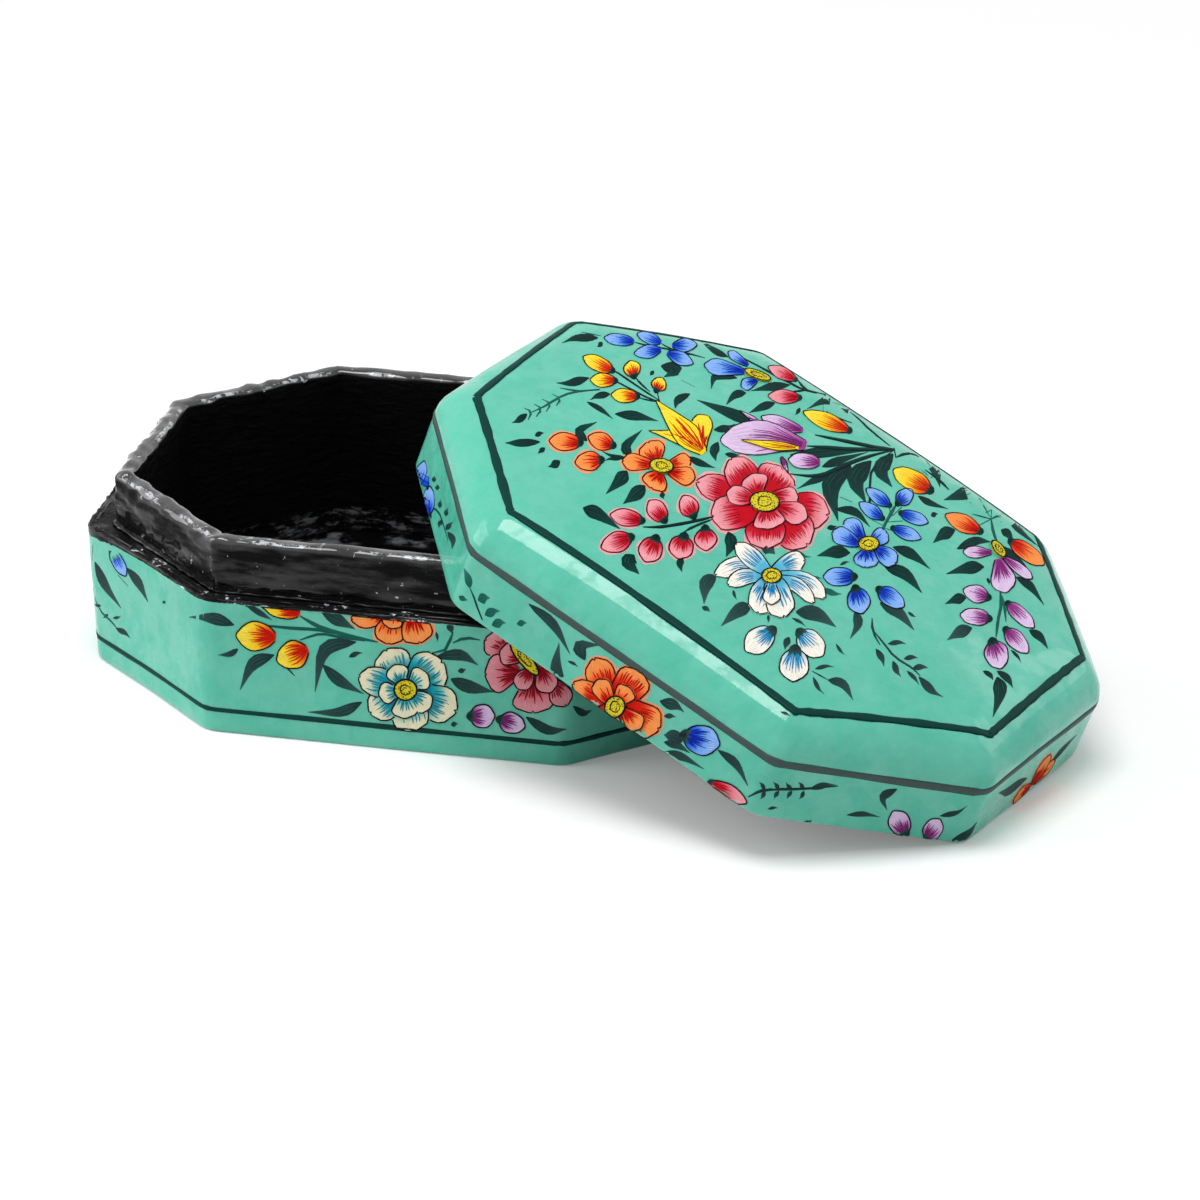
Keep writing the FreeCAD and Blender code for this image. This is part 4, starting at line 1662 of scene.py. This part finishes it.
def sizes_of(context):
    """The box's sizes in millimetres, to the nearest thousandth, in single precision."""
    given = context.scene.box_sizes
    sizes = {
        name: float(np.float32(round(getattr(given, name) / MM, 3)))
        for name in BoxSizes.__annotations__
    }
    return SimpleNamespace(**sizes)


class BOX_OT_tray(bpy.types.Operator):
    """Build the tray with its ledge, and prepare the box's paints."""

    bl_idname = "box.tray"
    bl_label = "Tray"

    def execute(self, context):
        finish = lacquer(context.scene.box_colours)
        brush_paint()
        dark_dots()
        rows, edges = tray_rows(sizes_of(context))
        tray = lofted("tray_body", rows, edges, False, finish)
        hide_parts("tray_shell")
        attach(tray, "base")
        return {"FINISHED"}


def bead(sizes, chance, inset, corner, height, width, flare):
    """A lumpy bead of lacquer round the box, as a closed line."""
    flat = ring(sizes, inset, corner, 5, 34)
    row = level_row(flat, height)
    if flare:
        row = flared(row, sizes)
    upwards = Vector((0, 0, 1))
    spots = [(Vector(p) + upwards * chance.uniform(-0.12, 0.12), upwards) for p in row]
    spots.append(spots[0])
    widths = [width * chance.choice((0.5, 0.8, 1.0, 1.3)) for _ in spots]
    return spots, widths, CRUST_BLACK


class BOX_OT_collar(bpy.types.Operator):
    """Build the rough black collar."""

    bl_idname = "box.collar"
    bl_label = "Collar"

    def execute(self, context):
        sizes, finish = sizes_of(context), rough_black(context.scene.box_colours)
        rows, edges = collar_rows(sizes)
        collar = lofted("collar_body", rows, edges, True, finish)
        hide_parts("collar_ring")
        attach(collar, "base")
        chance, top = random.Random(5), sizes.tray_height
        beads = [
            bead(sizes, chance, sizes.ledge - 0.15, 3.1, top + 0.1, 1.1, False),
            bead(sizes, chance, 0.3, sizes.corner_radius, top - 0.25, 0.8, True),
            bead(sizes, chance, 1.7, 6.0, top - 0.1, 0.7, True),
        ]
        crust = stroke_piece("ledge_crust", beads, brush_tree(), 8, 0.8, finish, 1.6)
        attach(crust, "base")
        return {"FINISHED"}


class BOX_OT_lid(bpy.types.Operator):
    """Build the domed lid where it leans."""

    bl_idname = "box.lid"
    bl_label = "Lid"

    def execute(self, context):
        rows, edges = lid_rows(sizes_of(context))
        finish = bpy.data.materials["mint_and_black_lacquer"]
        lid = lofted("lid_body", rows, edges, False, finish, LID_MATRIX)
        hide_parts("lid_shell")
        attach(lid, "lid")
        return {"FINISHED"}


class BOX_OT_lid_painting(bpy.types.Operator):
    """Paint the lid's lines, flowers and leaves."""

    bl_idname = "box.lid_painting"
    bl_label = "Lid painting"

    def execute(self, context):
        sizes = sizes_of(context)
        front = Painter(Surface("lid_body"), ReferenceView(), 11)
        top_line, skirt_line = border_points(LID_BORDER), ring(sizes, -0.7, 6.0, 4, 8)
        loop_line(sizes, LID_MATRIX, top_line, None, LID_LINE_WIDTH, LINE, front)
        loop_line(sizes, LID_MATRIX, skirt_line, LID_LINE, LID_LINE_WIDTH, LINE_GREY, front)
        for part in (paint_lid_back, paint_lid_stems, paint_lid_flowers, paint_lid_skirt):
            part(front)
        own = {RIGHT_END: lid_end}
        hidden = hidden_bands(sizes, "lid_body", LID_MATRIX, LID_BAND, LID_HIDDEN, 31, own)
        finish_painting("lid", "lid", [front, *hidden])
        return {"FINISHED"}


class BOX_OT_tray_painting(bpy.types.Operator):
    """Paint the tray's stripe, flowers and leaves."""

    bl_idname = "box.tray_painting"
    bl_label = "Tray painting"

    def execute(self, context):
        sizes = sizes_of(context)
        front = Painter(Surface("tray_body"), ReferenceView(), 21)
        stripe, upright = ring(sizes, 0, 6.0, 4, 8), Matrix.Identity(4)
        loop_line(sizes, upright, stripe, TRAY_LINE, TRAY_LINE_WIDTH, LINE, front)
        paint_tray_sides(front)
        hidden = hidden_bands(sizes, "tray_body", upright, TRAY_BAND, TRAY_HIDDEN, 51)
        finish_painting("tray", "base", [front, *hidden])
        return {"FINISHED"}


def lid_end(p):
    """The half flower at the rim of the lid's right end, square on."""
    grey_leaves = [(15, -9, 3, -45, -2, -73, -13), (13, 40, 10, 58, 2, 80, -6)]
    orange_petals = [(21, 16, 23, 51, 13), (21, 12, 24, -22, 23), (26, 14, 25, 27, -9)]
    p.leaves(grey_leaves, "grey")
    p.flower("orange", orange_petals, notch=0)


# The hidden sides, numbered anticlockwise: 0 is the front-left chamfer, 1 the front, 5 the back
RIGHT_END = 3
LID_HIDDEN = (4, 5, 6, 7, RIGHT_END)
TRAY_HIDDEN = (RIGHT_END, 4, 5, 6, 7, 2)
# The height of the middle of their bands, over the lid's rim and the tray's underside
LID_BAND, TRAY_BAND = 8.0, 19.0
# Half the length from which a side takes a long band, in pixels
LONG_SIDE = 150


def hidden_bands(sizes, name, matrix, height, sides, seed, own=()):
    """Painters for the sides that the reference view hides, or shows only at a slant.

    A side that stands in own gets the drawing that is given there, and any other a band.
    """
    corners, outward = octagon(sizes, 0)
    orders = [
        ("pink", "blue", "orange"), ("orange", "lilac", "blue"), ("blue", "yellow", "pink"),
        ("cream", "pink", "yellow"), ("rose", "blue", "lilac"), ("lilac", "yellow", "orange"),
    ]
    painters = []
    turned = matrix.to_3x3()
    for k, i in enumerate(sides):
        first, second = corners[i], corners[(i + 1) % len(corners)]
        centre, run = (first + second) / 2, second - first
        middle = matrix @ Vector((*centre, height))
        view = SquareView(middle, turned @ Vector((*run, 0)), turned @ Vector((*outward[i], 0)))
        p = Painter(Surface(name), view, seed + k)
        half = float(np.linalg.norm(run)) * PIXELS_PER_MM / 2
        if i in own:
            own[i](p)
        elif half > LONG_SIDE:
            side_band(p, half, orders[k])
        else:
            short_band(p, orders[k])
        painters.append(p)
    return painters


# The soft lights, in metres and watts: which way each stands, how far off, its size and power
LIGHTS = (
    ("key", (-0.85, -0.17, 0.45), 1.25, (1.0, 0.9), 7.9),
    ("top", (-0.02, -0.2, 0.98), 1.2, (0.7, 0.56), 9.6),
    ("fill", (0.7, 0.5, 0.5), 1.6, (1.2, 0.9), 4.5),
)
LIGHT_TARGET = Vector((0.04, -0.01, 0.03))
# How far the floor reaches each way, and over which distances in metres it turns to white
FLOOR_REACH = 4000.0
FLOOR_FADE = (0.28, 0.6)


class BOX_OT_stage(bpy.types.Operator):
    """Set the pale floor, the lights and the camera."""

    bl_idname = "box.stage"
    bl_label = "Stage"

    def execute(self, context):
        scene, reach = context.scene, FLOOR_REACH
        corners = [(-reach, -reach, 0), (reach, -reach, 0), (reach, reach, 0), (-reach, reach, 0)]
        floor = mesh_piece("floor", corners, [(0, 1, 2, 3)], floor_paper())
        set_world(scene)
        for lamp in LIGHTS:
            soft_light(*lamp)
        camera = bpy.data.objects.new("camera", bpy.data.cameras.new("camera"))
        scene.collection.objects.link(camera)
        camera.data.lens, camera.data.sensor_width = LENS, SENSOR
        camera.data.clip_start, camera.data.clip_end = 0.05, 20.0
        turn = Matrix((RIGHT, UP, BACK)).transposed().to_4x4()
        camera.matrix_world = Matrix.Translation(EYE * MM) @ turn
        scene.camera = camera
        scene.view_settings.view_transform = "Standard"
        return {"FINISHED"}


def rays(tree, *names):
    """Which kinds of ray look at a surface, one value for each name."""
    path = tree.add("ShaderNodeLightPath", out=None)
    return [Value(tree, path.outputs[f"Is {name} Ray"]) for name in names]


def floor_paper():
    """Pale matt paper that turns to plain white far from the box."""
    made, tree, shader = material("floor_paper")
    tree.feed(shader.inputs["Base Color"], (0.88, 0.88, 0.88, 1))
    shader.inputs["Roughness"].default_value = 0.9
    shader.inputs["Specular IOR Level"].default_value = 0.1
    camera, glossy = rays(tree, "Camera", "Glossy")
    seen = camera + glossy
    glow = tree.add("ShaderNodeEmission", None, (1, 1, 1, 1), seen * 0.15)
    near = tree.add("ShaderNodeAddShader", None, Value(tree, shader.outputs[0]), glow)
    place = tree.add("ShaderNodeTexCoord", out=3)
    away = tree.add("ShaderNodeVectorMath", {"operation": "LENGTH"}, place, out=1)
    white = tree.add("ShaderNodeEmission", None, (1, 1, 1, 1), 1.0)
    faded = away.clamp(*FLOOR_FADE) * camera
    shown = tree.add("ShaderNodeMixShader", None, faded, near, white)
    tree.feed(made.node_tree.nodes["Material Output"].inputs[0], shown)
    return made


def set_world(scene):
    """A white surround, dimmer where it lights matt surfaces."""
    world = bpy.data.worlds.new("studio")
    world.use_nodes = True
    scene.world = world
    tree = Tree(world.node_tree.nodes, world.node_tree.links)
    camera, glossy, clear = rays(tree, "Camera", "Glossy", "Transmission")
    seen = camera.maths("MAXIMUM", glossy).maths("MAXIMUM", clear)
    background = world.node_tree.nodes["Background"]
    background.inputs["Color"].default_value = (1, 1, 1, 1)
    tree.feed(background.inputs["Strength"], 0.31 + seen * 0.69)


def soft_light(name, way, distance, size, power):
    """A rectangular soft light that faces the box."""
    data = bpy.data.lights.new(name, "AREA")
    data.shape = "RECTANGLE"
    data.size, data.size_y = size
    data.energy = power
    lamp = bpy.data.objects.new(name, data)
    bpy.context.scene.collection.objects.link(lamp)
    away = Vector(way).normalized()
    turn = away.to_track_quat("Z", "Y").to_matrix().to_4x4()
    lamp.matrix_world = Matrix.Translation(LIGHT_TARGET + away * distance) @ turn


class BOX_PT_panel(bpy.types.Panel):
    """Buttons for the box's pieces."""

    bl_label = "Painted Box"
    bl_idname = "BOX_PT_panel"
    bl_space_type = "VIEW_3D"
    bl_region_type = "UI"
    bl_category = "Painted Box"

    def draw(self, context):
        for group in (context.scene.box_sizes, context.scene.box_colours):
            for name in group.__annotations__:
                self.layout.prop(group, name)
        for operator in OPERATORS:
            self.layout.operator(operator.bl_idname)


OPERATORS = (
    BOX_OT_tray, BOX_OT_collar, BOX_OT_lid, BOX_OT_lid_painting, BOX_OT_tray_painting,
    BOX_OT_stage,
)
CLASSES = (BoxSizes, BoxColours, *OPERATORS, BOX_PT_panel)


def register():
    for kind in CLASSES:
        bpy.utils.register_class(kind)
    bpy.types.Scene.box_sizes = bpy.props.PointerProperty(type=BoxSizes)
    bpy.types.Scene.box_colours = bpy.props.PointerProperty(type=BoxColours)


def unregister():
    del bpy.types.Scene.box_sizes
    del bpy.types.Scene.box_colours
    for kind in reversed(CLASSES):
        bpy.utils.unregister_class(kind)


def main():
    register()
    bpy.ops.box.tray()
    bpy.ops.box.collar()
    bpy.ops.box.lid()
    bpy.ops.box.lid_painting()
    bpy.ops.box.tray_painting()
    bpy.ops.box.stage()


if __name__ == "__main__":
    main()
